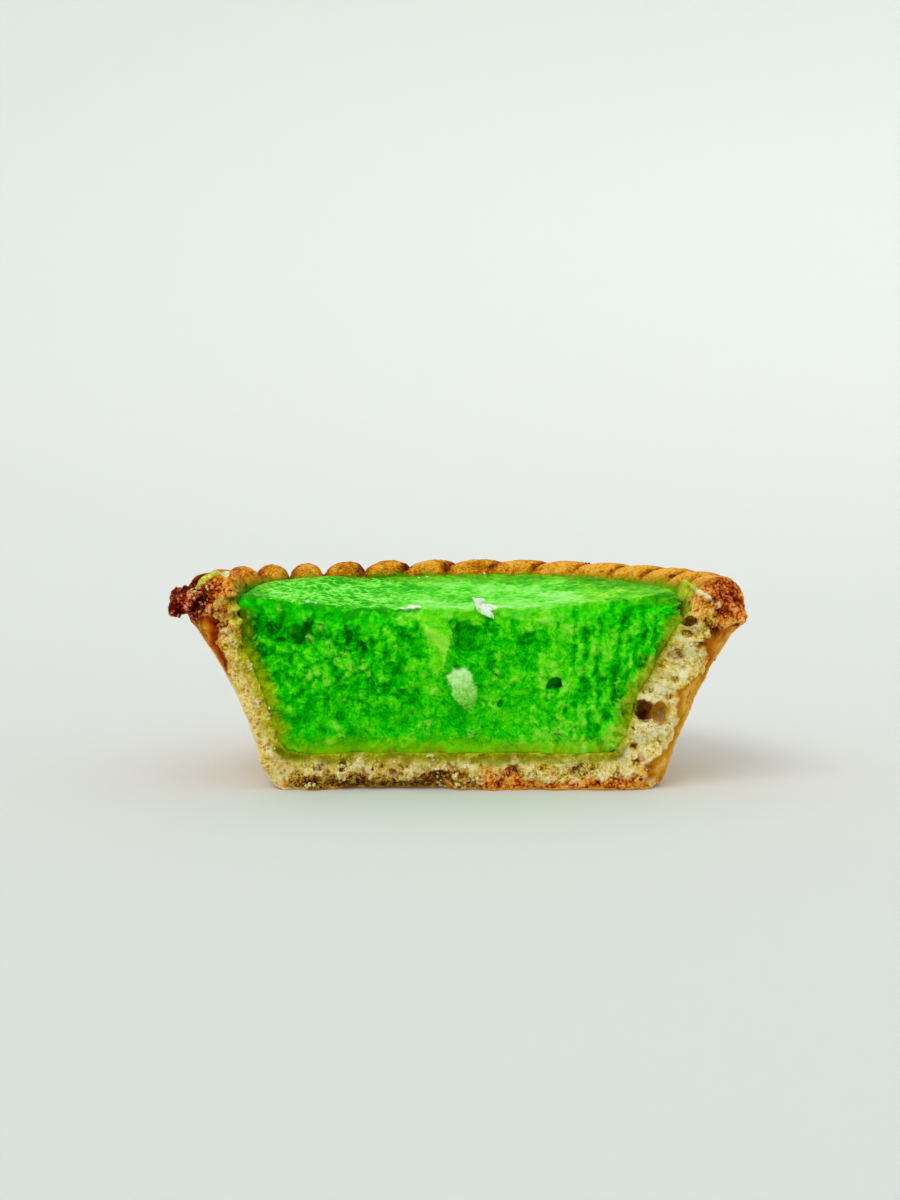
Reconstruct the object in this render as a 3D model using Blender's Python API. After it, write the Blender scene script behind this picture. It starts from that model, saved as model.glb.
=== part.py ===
"""Half of a round matcha cheese tart, broken open across its middle.

Metres, +Z up. The half stands on its flat base at z = 0 and its broken face looks along -Y.
The shapes are worked out in millimetres about the tart's own upright axis. At the end they are
scaled to metres and centred under their common box.
"""

import math
import random

import bmesh
import bpy
from mathutils import Matrix, Vector, noise

# Crust: outer wall, turned about the tart's axis, and pressed a little flat on its left side
FOOT_RADIUS = 27.3
FOOT_ROUNDING = 1.4
NECK_RADIUS = 36.9
NECK_HEIGHT = 22.4
WALL_CURVE = 1.42
WALL_RINGS = 6
LEFT_FLATTENING = 0.8
UNEVENNESS = (0.3, 15.0)
CORNER_CUT = 0.3

# Rim: an oval roll above the neck, crimped into slanting lobes like a twisted rope
RIM_CENTRE_RADIUS = 34.4
RIM_CENTRE_HEIGHT = 24.75
RIM_HALF_WIDTH = 3.6
RIM_HALF_HEIGHT = 3.9
RIM_ARC_START = math.radians(-35)
RIM_ARC_END = math.radians(150)
RIM_SQUARENESS = 0.86
RIM_RINGS = 12
RIM_LIFT_LEFT = 0.5
RIM_LIFT_SPAN = (-22.0, -35.0)
RIM_LIFT_HEIGHTS = (12.0, 26.0)
CAVITY_LIFT_HEIGHTS = (20.0, 28.0)
LOBES = 30
LOBE_COLUMNS = 6
LOBE_DEPTH = 2.5
LOBE_LEAN = 1.25
LOBE_CROWDING = 0.08
LOBE_UNEVENNESS = 0.16
LOBE_FADE = 0.7
LOBE_EASING = 0.68
LOBE_EASING_SPAN = (-17.0, 6.0)
NOTCH_ANGLE = math.radians(1.0)
NOTCH_RADIUS = 37.5
TWIST_WIDTH = 11.5

# Cavity that holds the filling, as (height, radius) from its floor to the rim
CAVITY_PROFILE = ((5.1, 22.9), (12.0, 25.2), (20.2, 29.4), (26.7, 31.28))
CAVITY_CORNER = 1.5
CAVITY_SHIFT_LOW = -1.7
CAVITY_SHIFT_TOP = 0.2
CAVITY_SHIFT_HEIGHTS = (14.0, 26.5)
CAVITY_SHIFT_BACK = 0.5
CAVITY_SHIFT_FADE = (0.6, 1.0)
CAVITY_MARGIN = 0.5

# Filling: a curd set in the cavity, sunk in the middle and shrunk from the crust at the top
JOINT_GAP = 0.3
FILLING_EDGE_HEIGHT = 26.5
FILLING_SINK = 2.3
FILLING_SINK_CENTRE = -3.5
FILLING_EDGE_ROUNDING = 0.5
FILLING_SHRINK_LEFT = 0.35
FILLING_SHRINK_RIGHT = 2.4
FILLING_SHRINK_SPAN = (20.0, 28.0)
FILLING_SHRINK_HEIGHTS = (22.0, 27.0)
FILLING_COLUMNS = 96
FILLING_TOP_RADII = (28.0, 24.5, 20.0, 15.5, 11.0, 7.0, 3.5)

# Broken face: where it stands before the tart's axis, and the mesh it is cut with
FACE_Y = -4.0
CRUST_FACE_CELL = 0.85
FILLING_FACE_CELL = 1.0
FACE_HALF_WIDTH = 44.0
FACE_LOW = -3.0
FACE_HIGH = 33.0
BLOCK_BACK = 50.0

# Crust face: how far the break falls back towards the browned skin on each side
SKIN_BREAK_RIGHT = 3.0
SKIN_BREAK_LEFT = 2.5
SKIN_BREAK_WIDTH = 1.8
SKIN_BREAK_START = (8.0, 17.0)
SKIN_BREAK_END = (20.0, 24.0)
CRUMB_COARSE = (1.0, 2.8)
CRUMB_FINE = (0.6, 1.5)
RIDGE_START = (30.8, 27.1)
RIDGE_ANGLE = math.radians(-32.5)
RIDGE_SLOPE = 1.1
LEFT_END_TOP = 27.4
LEFT_END_TOP_SLOPE = 1.3
LEFT_END_SIDE = (-33.5, -37.0)
LEFT_END_SETBACK = 2.5
CHIP_SPAN = (-15.6, -2.8)
CHIP_EDGE = 2.5
CHIP_HEIGHTS = (0.9, 1.5)
CHIP_DEPTH = 1.6
FOOT_BREAK = 0.4
FOOT_BREAK_HEIGHT = 1.2

# Crust pieces at the face: hollow crumb pits, and the caramelised knob on the left rim end
CRUMB_PITS = (
    ((24.1, 10.6), (1.3, 2.0, 1.5)),
    ((26.0, 10.5), (1.0, 2.2, 1.6)),
    ((30.1, 23.0), (0.6, 1.0, 0.8)),
)
PIT_UNEVENNESS = 0.4
KNOB_CENTRE = (-37.2, -1.9, 25.5)
KNOB_RADII = (2.4, 2.6, 2.0)
KNOB_UNEVENNESS = 0.45

# Filling face: curds on the left, drag streaks on the right, a scoop and a facet between them
CURD_RELIEF = (1.1, 2.6)
CURD_CALM = 0.55
CURD_CALM_SPAN = (-10.0, 0.0)
STREAK_RELIEF = (0.9, 1.9, 9.0)
STREAK_LEAN = 0.12
STREAK_SPAN = (6.0, 12.0)
BROAD_RELIEF = (1.2, 13.0)
TOP_RELIEF = (0.25, 7.0)
SCOOP_CENTRE = (0.3, 20.9)
SCOOP_RADII = (2.9, 3.9)
SCOOP_DEPTH = 1.7
SCOOP_FLOOR = 0.2
FACET_EDGE = ((-2.0, 22.0), (-2.7, 16.2))
FACET_WIDTH = 4.2
FACET_RISE = 1.1
FACET_FALL = 0.9
FACET_FADE = (1.0, 1.5)
TOP_BREAK_HEIGHT = 1.7
TOP_BREAK_DEPTH = 1.1

# Filling pores, as (x, z) and radius, and how deep a pore is for its radius
PORES = (
    ((12.0, 14.35), 1.0),
    ((-22.9, 20.9), 0.8),
    ((-16.6, 9.8), 0.7),
    ((4.7, 11.9), 0.45),
)
PORE_DEPTH = 1.7

# Pale lump in the face and pale flakes at the front edge of the top
LUMP_CENTRE = (-0.4, 13.9)
LUMP_RADII = (2.0, 1.3, 3.1)
LUMP_SUNK = 0.3
LUMP_UNEVENNESS = 0.35
FLAKE_THICKNESS = 0.55
FORKED_FLAKE_TIP = (0.95, 26.15)
FORKED_FLAKE_OUTLINE = (
    (0.0, 0.0), (1.9, -0.4), (1.9, -0.8), (3.4, -1.4), (2.4, -1.75), (3.1, -2.8), (2.3, -2.65), (0.7, -1.9),
)
FORKED_FLAKE_LEAN = 0.2
FORKED_FLAKE_ROOT = 1.2
FORKED_FLAKE_ROOT_DROP = (1.2, 1.8)
FLAT_FLAKE_CENTRE = (-7.4, -1.6, 24.45)
FLAT_FLAKE_RADII = (1.65, 0.9, 0.4)
FLAT_FLAKE_UNEVENNESS = 0.3

CRUST_COLOUR = (0.58, 0.31, 0.09, 1.0)
CRUST_ROUGHNESS = 0.85
FILLING_COLOUR = (0.05, 0.52, 0.03, 1.0)
FILLING_ROUGHNESS = 0.55
SHARP_ANGLE = math.radians(40)
MERGE_DISTANCE = 0.01
SLIVER_LENGTH = 0.005
METRES_PER_MM = 0.001
LOBE_SEED = 33


def smooth(low, high, value):
    """0 up to low, 1 from high, and an even S between them."""
    share = min(max((value - low) / (high - low), 0.0), 1.0)
    return share * share * (3.0 - 2.0 * share)


def relief(x, z, amplitude, spacing, layer=0.0):
    return amplitude * noise.noise(Vector((x / spacing, layer, z / spacing)))


def wall_radius(height):
    rise = max(height, 0.0) / NECK_HEIGHT
    return FOOT_RADIUS + (NECK_RADIUS - FOOT_RADIUS) * rise ** WALL_CURVE


def skin_radius(height):
    """Radius of the crust's outer skin, on the wall or on the rim above it."""
    if height < NECK_HEIGHT:
        return wall_radius(height)
    rise = min(abs(height - RIM_CENTRE_HEIGHT) / RIM_HALF_HEIGHT, 1.0)
    return RIM_CENTRE_RADIUS + RIM_HALF_WIDTH * math.sqrt(1.0 - rise * rise)


def cavity_radius(height):
    for (low, inner), (high, outer) in zip(CAVITY_PROFILE, CAVITY_PROFILE[1:]):
        if height <= high:
            break
    share = min(max((height - low) / (high - low), 0.0), 1.0)
    return inner + (outer - inner) * share


def cavity_shift(height):
    """The cavity sits off the tart's axis, so the left wall is thin and the right wall thick."""
    share = smooth(*CAVITY_SHIFT_HEIGHTS, height)
    across = CAVITY_SHIFT_LOW + (CAVITY_SHIFT_TOP - CAVITY_SHIFT_LOW) * share
    return Vector((across, CAVITY_SHIFT_BACK, 0.0))


def rim_share(radius, height):
    """How far round the rim's roll a point lies: 0 under its outer side, 1 at the filling."""
    across = (radius - RIM_CENTRE_RADIUS) / RIM_HALF_WIDTH
    up = (height - RIM_CENTRE_HEIGHT) / RIM_HALF_HEIGHT
    share = (math.atan2(up, across) - RIM_ARC_START) / (RIM_ARC_END - RIM_ARC_START)
    return min(max(share, 0.0), 1.0)


def cavity_points():
    """(radius, height) of the cavity, from its floor round the corner and up its side."""
    floor = CAVITY_PROFILE[0][0]
    points = [(cavity_radius(floor) - CAVITY_CORNER, floor)]
    cut = CORNER_CUT * CAVITY_CORNER
    points.append((cavity_radius(floor) - cut, floor + cut))
    points.append((cavity_radius(floor + CAVITY_CORNER), floor + CAVITY_CORNER))
    points += [(radius, height) for height, radius in CAVITY_PROFILE[1:-1]]
    return points


def crust_profile():
    """(radius, height) from the cavity floor, up over the rim and down the wall to the base."""
    points = cavity_points()
    for step in range(RIM_RINGS + 1):
        turn = RIM_ARC_END + (RIM_ARC_START - RIM_ARC_END) * step / RIM_RINGS
        across = math.copysign(abs(math.cos(turn)) ** RIM_SQUARENESS, math.cos(turn))
        up = math.copysign(abs(math.sin(turn)) ** RIM_SQUARENESS, math.sin(turn))
        radius = RIM_CENTRE_RADIUS + RIM_HALF_WIDTH * across
        points.append((radius, RIM_CENTRE_HEIGHT + RIM_HALF_HEIGHT * up))
    lowest = points[-1][1]
    for step in range(1, WALL_RINGS):
        height = lowest + (FOOT_ROUNDING - lowest) * step / (WALL_RINGS - 1)
        points.append((wall_radius(height), height))
    cut = CORNER_CUT * FOOT_ROUNDING
    points.append((FOOT_RADIUS - cut, cut))
    points.append((FOOT_RADIUS - FOOT_ROUNDING, 0.0))
    return points


def turned(points, columns):
    """A closed body: the profile spun right round the axis, with its open ends filled."""
    shape = bmesh.new()
    verts = [shape.verts.new((radius, 0.0, height)) for radius, height in points]
    edges = [shape.edges.new(pair) for pair in zip(verts, verts[1:])]
    bmesh.ops.spin(
        shape, geom=verts + edges, cent=(0, 0, 0), axis=(0, 0, 1),
        angle=math.tau, steps=columns, use_merge=True,
    )
    bmesh.ops.remove_doubles(shape, verts=shape.verts, dist=0.001)
    rims = [edge for edge in shape.edges if edge.is_boundary]
    bmesh.ops.holes_fill(shape, edges=rims, sides=0)
    bmesh.ops.triangulate(shape, faces=shape.faces)
    bmesh.ops.recalc_face_normals(shape, faces=shape.faces)
    return shape


def unevenness(radius, turn, height):
    """How far the hand-pressed wall strays from round at this place."""
    place = Vector((radius * math.sin(turn), radius * math.cos(turn), height))
    return UNEVENNESS[0] * noise.noise(place / UNEVENNESS[1])


def crimp(shape):
    """Presses the rim's lobes in, lifts its left side and moves the cavity off the axis."""
    rng = random.Random(LOBE_SEED)
    depths = [LOBE_DEPTH * (1.0 + LOBE_UNEVENNESS * rng.uniform(-1, 1)) for _ in range(LOBES)]
    pitch = math.tau / LOBES
    for vert in shape.verts:
        radius = math.hypot(vert.co.x, vert.co.y)
        height = vert.co.z
        place = (math.atan2(vert.co.x, vert.co.y) - NOTCH_ANGLE) / pitch
        lobe = math.floor(place + 0.001)
        across = max(place - lobe, 0.0)
        across -= LOBE_CROWDING * math.sin(math.tau * across)
        around = rim_share(radius, height)
        weight = math.sin(math.pi * around) ** LOBE_FADE if 0.0 < around < 1.0 else 0.0
        bulge = math.sqrt(max(1.0 - (2.0 * max(across, 0.0) ** LOBE_LEAN - 1.0) ** 2, 0.0))
        inward = Vector((RIM_CENTRE_RADIUS - radius, RIM_CENTRE_HEIGHT - height))
        twist = pitch * (radius - NOTCH_RADIUS) / TWIST_WIDTH
        turn = NOTCH_ANGLE + (lobe + across) * pitch + twist
        eased = 1.0 - LOBE_EASING * smooth(*LOBE_EASING_SPAN, radius * math.sin(turn))
        pressed = inward.normalized() * depths[lobe % LOBES] * eased * weight * (1.0 - bulge)
        in_cavity = height >= CAVITY_PROFILE[0][0] and radius < cavity_radius(height) + CAVITY_MARGIN
        leftness = max(-math.sin(turn), 0.0) ** 2
        if around == 0.0 and not in_cavity:
            radius -= LEFT_FLATTENING * leftness * math.sin(math.pi * min(height / NECK_HEIGHT, 1.0))
        if height > 0.0:
            radius += unevenness(radius, turn, height)
        radius += pressed.x
        place = Vector((radius * math.sin(turn), radius * math.cos(turn), height + pressed.y))
        lifted = smooth(*(CAVITY_LIFT_HEIGHTS if in_cavity else RIM_LIFT_HEIGHTS), height)
        place.z += RIM_LIFT_LEFT * lifted * smooth(*RIM_LIFT_SPAN, place.x)
        follows = 1.0 if in_cavity else smooth(*CAVITY_SHIFT_FADE, around)
        vert.co = place + cavity_shift(height) * follows


def crust_face(x, z):
    """How far back the crust's broken face lies at this place, in crumbs and set-backs."""
    depth = FACE_Y + relief(x, z, *CRUMB_COARSE) + relief(x, z, *CRUMB_FINE, layer=4.0)
    inside = skin_radius(z) - abs(x)
    falling = math.exp(-((max(inside, 0.0) / SKIN_BREAK_WIDTH) ** 2)) * (1.0 - smooth(*SKIN_BREAK_END, z))
    if x > 0.0:
        depth += SKIN_BREAK_RIGHT * falling
        ridge_x, ridge_z = RIDGE_START
        above = (z - ridge_z) * math.cos(RIDGE_ANGLE) - (x - ridge_x) * math.sin(RIDGE_ANGLE)
        depth += RIDGE_SLOPE * max(above, 0.0)
    else:
        depth += SKIN_BREAK_LEFT * falling * smooth(*SKIN_BREAK_START, z)
        depth += LEFT_END_TOP_SLOPE * max(z - LEFT_END_TOP, 0.0)
        depth += LEFT_END_SETBACK * smooth(*LEFT_END_SIDE, x)
    start, end = CHIP_SPAN
    chipped = smooth(start - CHIP_EDGE, start, x) * (1.0 - smooth(end, end + CHIP_EDGE, x))
    depth += CHIP_DEPTH * chipped * (1.0 - smooth(*CHIP_HEIGHTS, z))
    depth += FOOT_BREAK * (1.0 - smooth(0.0, FOOT_BREAK_HEIGHT, z))
    return depth


def filling_top(x, y):
    """Height of the sunk top of the filling."""
    out = min(math.hypot(x - FILLING_SINK_CENTRE, y) / CAVITY_PROFILE[-1][1], 1.0)
    sag = FILLING_SINK * (1.0 - out ** 2)
    return FILLING_EDGE_HEIGHT - sag + relief(x, y, *TOP_RELIEF, layer=2.0)


def filling_face(x, z):
    """How far back the filling's broken face lies at this place."""
    depth = FACE_Y - 0.1 + relief(x, z, *BROAD_RELIEF, layer=1.0)
    curds = 1.0 - CURD_CALM * smooth(*CURD_CALM_SPAN, x)
    depth += curds * relief(x, z, *CURD_RELIEF, layer=6.0)
    amplitude, across, along = STREAK_RELIEF
    streaks = smooth(*STREAK_SPAN, x)
    leaning = (x + STREAK_LEAN * z) / across
    depth += streaks * amplitude * noise.noise(Vector((leaning, 9.0, z / along)))
    scoop_x = (x - SCOOP_CENTRE[0]) / SCOOP_RADII[0]
    scoop_z = (z - SCOOP_CENTRE[1]) / SCOOP_RADII[1]
    depth += SCOOP_DEPTH * (1.0 - smooth(SCOOP_FLOOR, 1.0, math.hypot(scoop_x, scoop_z)))
    (top_x, top_z), (low_x, low_z) = FACET_EDGE
    edge_x = top_x + (low_x - top_x) * (top_z - z) / (top_z - low_z)
    outer, inner = FACET_FADE
    beside = smooth(low_z - outer, low_z + inner, z) * (1.0 - smooth(top_z - outer, top_z + inner, z))
    rise = smooth(edge_x - FACET_WIDTH, edge_x, x) * (1.0 - smooth(edge_x, edge_x + FACET_FALL, x))
    depth -= FACET_RISE * rise * beside
    below = max(filling_top(x, FACE_Y) - z, 0.0) / TOP_BREAK_HEIGHT
    depth += TOP_BREAK_DEPTH * max(1.0 - below, 0.0) ** 2
    return depth


def new_object(name, shape):
    mesh = bpy.data.meshes.new(name)
    shape.to_mesh(mesh)
    shape.free()
    piece = bpy.data.objects.new(name, mesh)
    bpy.context.scene.collection.objects.link(piece)
    return piece


def broken_block(face, cell):
    """A block behind a broken face: an upright grid pushed into relief, then extruded back."""
    shape = bmesh.new()
    middle = Vector((0.0, 0.0, 0.5 * (FACE_LOW + FACE_HIGH)))
    upright = Matrix.Translation(middle) @ Matrix.Rotation(math.radians(90), 4, "X")
    stretch = Matrix.Diagonal((FACE_HALF_WIDTH, 0.5 * (FACE_HIGH - FACE_LOW), 1.0, 1.0))
    bmesh.ops.create_grid(
        shape, x_segments=round(2 * FACE_HALF_WIDTH / cell),
        y_segments=round((FACE_HIGH - FACE_LOW) / cell), size=1.0, matrix=upright @ stretch,
    )
    for vert in shape.verts:
        vert.co.y = face(vert.co.x, vert.co.z)
    extruded = bmesh.ops.extrude_face_region(shape, geom=shape.faces[:], use_keep_orig=True)
    for item in extruded["geom"]:
        if isinstance(item, bmesh.types.BMVert):
            item.co.y = BLOCK_BACK
    bmesh.ops.triangulate(shape, faces=shape.faces)
    bmesh.ops.recalc_face_normals(shape, faces=shape.faces)
    return new_object("block", shape)


def blob(centre, radii, unevenness=0.0, subdivisions=2):
    """An uneven round lump."""
    shape = bmesh.new()
    bmesh.ops.create_icosphere(shape, subdivisions=subdivisions, radius=1.0)
    for vert in shape.verts:
        swell = 1.0 + unevenness * noise.noise(vert.co * 1.7 + Vector(centre))
        vert.co = Vector(centre) + Vector(radii) * swell * vert.co
    return new_object("blob", shape)


def forked_flake():
    """A thin forked sliver stuck in the front edge of the top, extruded from its outline."""
    shape = bmesh.new()
    x, z = FORKED_FLAKE_TIP
    front = filling_face(x + 2.0, z - 2.5)
    verts = []
    for across, up in FORKED_FLAKE_OUTLINE:
        verts.append(shape.verts.new((x + across, front + FORKED_FLAKE_LEAN * up, z + up)))
    shape.faces.new(verts)
    extruded = bmesh.ops.extrude_face_region(shape, geom=shape.faces[:], use_keep_orig=True)
    for item in extruded["geom"]:
        if isinstance(item, bmesh.types.BMVert):
            rooted = smooth(*FORKED_FLAKE_ROOT_DROP, z - item.co.z)
            item.co.y += FLAKE_THICKNESS + FORKED_FLAKE_ROOT * rooted
    bmesh.ops.recalc_face_normals(shape, faces=shape.faces)
    return new_object("flake", shape)


def combine(target, tools, operation):
    """Cuts or joins the tool objects with the target, and then removes them."""
    group = bpy.data.collections.new("tools")
    bpy.context.scene.collection.children.link(group)
    for tool in tools:
        tool.hide_render = True
        tool.display_type = "WIRE"
        group.objects.link(tool)
    boolean = target.modifiers.new("boolean", "BOOLEAN")
    boolean.operation = operation
    boolean.solver = "EXACT"
    boolean.operand_type = "COLLECTION"
    boolean.collection = group
    depsgraph = bpy.context.evaluated_depsgraph_get()
    joined = bpy.data.meshes.new_from_object(target.evaluated_get(depsgraph))
    target.modifiers.clear()
    target.data = joined
    for tool in tools:
        bpy.data.objects.remove(tool)
    bpy.data.collections.remove(group)


def finish(piece, colour, roughness):
    """Clears slivers, shades the round parts smooth and gives the piece its material."""
    shape = bmesh.new()
    shape.from_mesh(piece.data)
    bmesh.ops.remove_doubles(shape, verts=shape.verts, dist=MERGE_DISTANCE)
    bmesh.ops.dissolve_degenerate(shape, edges=shape.edges, dist=SLIVER_LENGTH)
    bmesh.ops.triangulate(shape, faces=shape.faces)
    bmesh.ops.recalc_face_normals(shape, faces=shape.faces)
    shape.to_mesh(piece.data)
    shape.free()
    piece.data.shade_smooth()
    piece.data.set_sharp_from_angle(angle=SHARP_ANGLE)
    piece.data.name = piece.name
    material = bpy.data.materials.new(piece.name)
    material.use_nodes = True
    shader = material.node_tree.nodes["Principled BSDF"]
    shader.inputs["Base Color"].default_value = colour
    shader.inputs["Roughness"].default_value = roughness
    shader.inputs["Metallic"].default_value = 0.0
    piece.data.materials.clear()
    piece.data.materials.append(material)


def make_crust():
    """Shortcrust shell: turned, crimped, broken across, with its pits and the knob."""
    shape = turned(crust_profile(), LOBES * LOBE_COLUMNS)
    crimp(shape)
    crust = new_object("pastry_shell", shape)
    combine(crust, [broken_block(crust_face, CRUST_FACE_CELL)], "INTERSECT")
    pits = [blob((x, crust_face(x, z), z), radii, PIT_UNEVENNESS) for (x, z), radii in CRUMB_PITS]
    combine(crust, pits, "DIFFERENCE")
    combine(crust, [blob(KNOB_CENTRE, KNOB_RADII, KNOB_UNEVENNESS, subdivisions=3)], "UNION")
    finish(crust, CRUST_COLOUR, CRUST_ROUGHNESS)
    return crust


def filling_profile():
    """(radius, height) of the filling: the cavity's line drawn in by the gap, then the top's edge."""
    line = cavity_points()
    shoulder = FILLING_EDGE_HEIGHT - FILLING_EDGE_ROUNDING
    middle = 0.5 * (line[-1][1] + shoulder)
    line += [(cavity_radius(height), height) for height in (middle, shoulder)]
    points = []
    for place, before, after in zip(line, line[:1] + line, line[1:] + line[-1:]):
        along = (Vector(after) - Vector(before)).normalized()
        points.append((place[0] - JOINT_GAP * along.y, place[1] + JOINT_GAP * along.x))
    points.append((points[-1][0] - FILLING_EDGE_ROUNDING, FILLING_EDGE_HEIGHT))
    points += [(radius, FILLING_EDGE_HEIGHT) for radius in FILLING_TOP_RADII]
    return points


def settle(shape):
    """Moves the filling with its cavity, shrinks it from the crust and sinks its top."""
    for vert in shape.verts:
        height = vert.co.z
        radius = math.hypot(vert.co.x, vert.co.y)
        turn = math.atan2(vert.co.x, vert.co.y)
        shrink = FILLING_SHRINK_LEFT
        shrink += (FILLING_SHRINK_RIGHT - FILLING_SHRINK_LEFT) * smooth(*FILLING_SHRINK_SPAN, vert.co.x)
        radius *= 1.0 - shrink * smooth(*FILLING_SHRINK_HEIGHTS, height) / CAVITY_PROFILE[-1][1]
        radius += unevenness(radius, turn, height) if height > CAVITY_PROFILE[0][0] + 0.5 else 0.0
        place = Vector((radius * math.sin(turn), radius * math.cos(turn), height)) + cavity_shift(height)
        if height > FILLING_EDGE_HEIGHT - 0.01:
            place.z = filling_top(place.x, place.y)
        elif height > FILLING_EDGE_HEIGHT - FILLING_EDGE_ROUNDING - 0.01:
            place.z = filling_top(place.x, place.y) - FILLING_EDGE_ROUNDING
        vert.co = place


def make_filling():
    """Cheese filling: turned, sunk, broken across, with its pores, pale lump and flakes."""
    shape = turned(filling_profile(), FILLING_COLUMNS)
    settle(shape)
    filling = new_object("matcha_filling", shape)
    combine(filling, [broken_block(filling_face, FILLING_FACE_CELL)], "INTERSECT")
    pores = []
    for (x, z), radius in PORES:
        pores.append(blob((x, filling_face(x, z), z), (radius, PORE_DEPTH * radius, radius)))
    combine(filling, pores, "DIFFERENCE")
    x, z = LUMP_CENTRE
    lump = blob((x, filling_face(x, z) + LUMP_SUNK, z), LUMP_RADII, LUMP_UNEVENNESS)
    flat = blob(FLAT_FLAKE_CENTRE, FLAT_FLAKE_RADII, FLAT_FLAKE_UNEVENNESS)
    combine(filling, [lump, forked_flake(), flat], "UNION")
    finish(filling, FILLING_COLOUR, FILLING_ROUGHNESS)
    return filling


def stand_at_origin(pieces):
    """Scales the pieces to metres and puts the middle of their common base at the origin."""
    places = [vert.co for piece in pieces for vert in piece.data.vertices]
    across = 0.5 * (min(p.x for p in places) + max(p.x for p in places))
    along = 0.5 * (min(p.y for p in places) + max(p.y for p in places))
    low = min(p.z for p in places)
    shift = Matrix.Translation((-across, -along, -low))
    for piece in pieces:
        piece.data.transform(Matrix.Scale(METRES_PER_MM, 4) @ shift)


for leftover in list(bpy.data.objects):
    bpy.data.objects.remove(leftover)
stand_at_origin([make_crust(), make_filling()])
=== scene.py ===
import math
import random

import bmesh
import bpy
import numpy as np
from mathutils import Euler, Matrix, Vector, noise
from mathutils.bvhtree import BVHTree


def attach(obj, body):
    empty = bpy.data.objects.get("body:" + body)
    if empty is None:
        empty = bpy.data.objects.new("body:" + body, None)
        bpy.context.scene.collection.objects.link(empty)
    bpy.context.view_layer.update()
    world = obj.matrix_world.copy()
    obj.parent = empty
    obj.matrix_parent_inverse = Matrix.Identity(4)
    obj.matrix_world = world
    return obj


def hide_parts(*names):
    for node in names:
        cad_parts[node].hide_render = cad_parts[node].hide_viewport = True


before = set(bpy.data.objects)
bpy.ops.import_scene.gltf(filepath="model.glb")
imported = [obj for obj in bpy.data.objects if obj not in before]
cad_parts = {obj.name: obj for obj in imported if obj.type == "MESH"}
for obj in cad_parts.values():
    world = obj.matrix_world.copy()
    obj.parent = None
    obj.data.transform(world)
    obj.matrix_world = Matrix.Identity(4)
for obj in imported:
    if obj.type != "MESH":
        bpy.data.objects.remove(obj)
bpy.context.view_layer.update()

# Shortcrust shell: a sandy butter dough pressed into a round mould by hand. Its rim is crimped
# into slanting lobes, the oven has browned its skin, and the break shows the pale crumb inside,
# which the filling has stained where they touch.
MM = 0.001
TART_AXIS = np.array((1.16, -16.17, 0.0))
CAMERA_FROM_AXIS = Vector((-1.98, -205.0, 44.5))
CRUST_VOXEL = 0.46
CRUST_BREAK_CUTS = 2
CRUST_RIM_CUTS = 1
CRUST_RIM_LOW = 19.0
BREAK_BACK = -2.4
JOINT_REACH = 0.7
CRUST_EASING = 3
MOST_TRIANGLES = 190000


def smooth(low, high, values):
    """0 up to low, 1 from high, and an even S between them."""
    share = np.clip((values - low) / (high - low), 0.0, 1.0)
    return share * share * (3.0 - 2.0 * share)


def lumps(places, size, seed):
    """Soft noise over places in mm, about -1 to 1, in lumps of the given size in mm."""
    return np.array([noise.noise(place) for place in (places / size + seed).tolist()])


def grains(places, size, seed):
    """Packed grains over places in mm: 1 at a grain's heart, 0 in the gap round it."""
    heights = []
    for place in (places / size + seed).tolist():
        nearest, second = noise.voronoi(place)[0][:2]
        heights.append(second - nearest)
    return np.clip(heights, 0.0, 1.0)


def even_copy(node, voxel):
    """A closed copy of a CAD node's mesh in even square cells, of the voxel's size in mm."""
    shape = bmesh.new()
    shape.from_mesh(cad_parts[node].data)
    bmesh.ops.remove_doubles(shape, verts=shape.verts, dist=0.001 * MM)
    mesh = bpy.data.meshes.new(node + "_merged")
    shape.to_mesh(mesh)
    shape.clear()
    source = bpy.data.objects.new(mesh.name, mesh)
    bpy.context.scene.collection.objects.link(source)
    remesh = source.modifiers.new("even", "REMESH")
    remesh.mode = "VOXEL"
    remesh.voxel_size = voxel * MM
    depsgraph = bpy.context.evaluated_depsgraph_get()
    shape.from_mesh(source.evaluated_get(depsgraph).to_mesh())
    bpy.data.objects.remove(source)
    bpy.data.meshes.remove(mesh)
    return shape


def split(shape, wanted, cuts):
    """Divides the edges of the wanted faces, so that they can carry finer relief."""
    edges = {edge for face in shape.faces if wanted(face) for edge in face.edges}
    bmesh.ops.subdivide_edges(shape, edges=list(edges), cuts=cuts, use_grid_fill=True)


def new_piece(name, shape):
    """A smooth shaded object that holds the shape."""
    mesh = bpy.data.meshes.new(name)
    shape.to_mesh(mesh)
    shape.free()
    mesh.shade_smooth()
    piece = bpy.data.objects.new(name, mesh)
    bpy.context.scene.collection.objects.link(piece)
    return piece


def vertex_places(mesh):
    """Every vertex in metres in the frame, in mm from the tart's axis, and its normal."""
    spots = np.empty(len(mesh.vertices) * 3, np.float32)
    mesh.vertices.foreach_get("co", spots)
    normals = np.empty_like(spots)
    mesh.vertices.foreach_get("normal", normals)
    spots = spots.reshape(-1, 3).astype(float)
    return spots, spots / MM - TART_AXIS, normals.reshape(-1, 3).astype(float)


def distance(tree, spots):
    """How far each spot is from the nearest face of the tree, in mm."""
    return np.array([tree.find_nearest(spot)[3] for spot in spots.tolist()]) / MM


def face_tree(node, wanted):
    """The faces of a CAD node that are wanted, as a tree for finding the nearest."""
    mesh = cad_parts[node].data
    faces = [tuple(f.vertices) for f in mesh.polygons if wanted(f)]
    return BVHTree.FromPolygons([v.co for v in mesh.vertices], faces)


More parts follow.
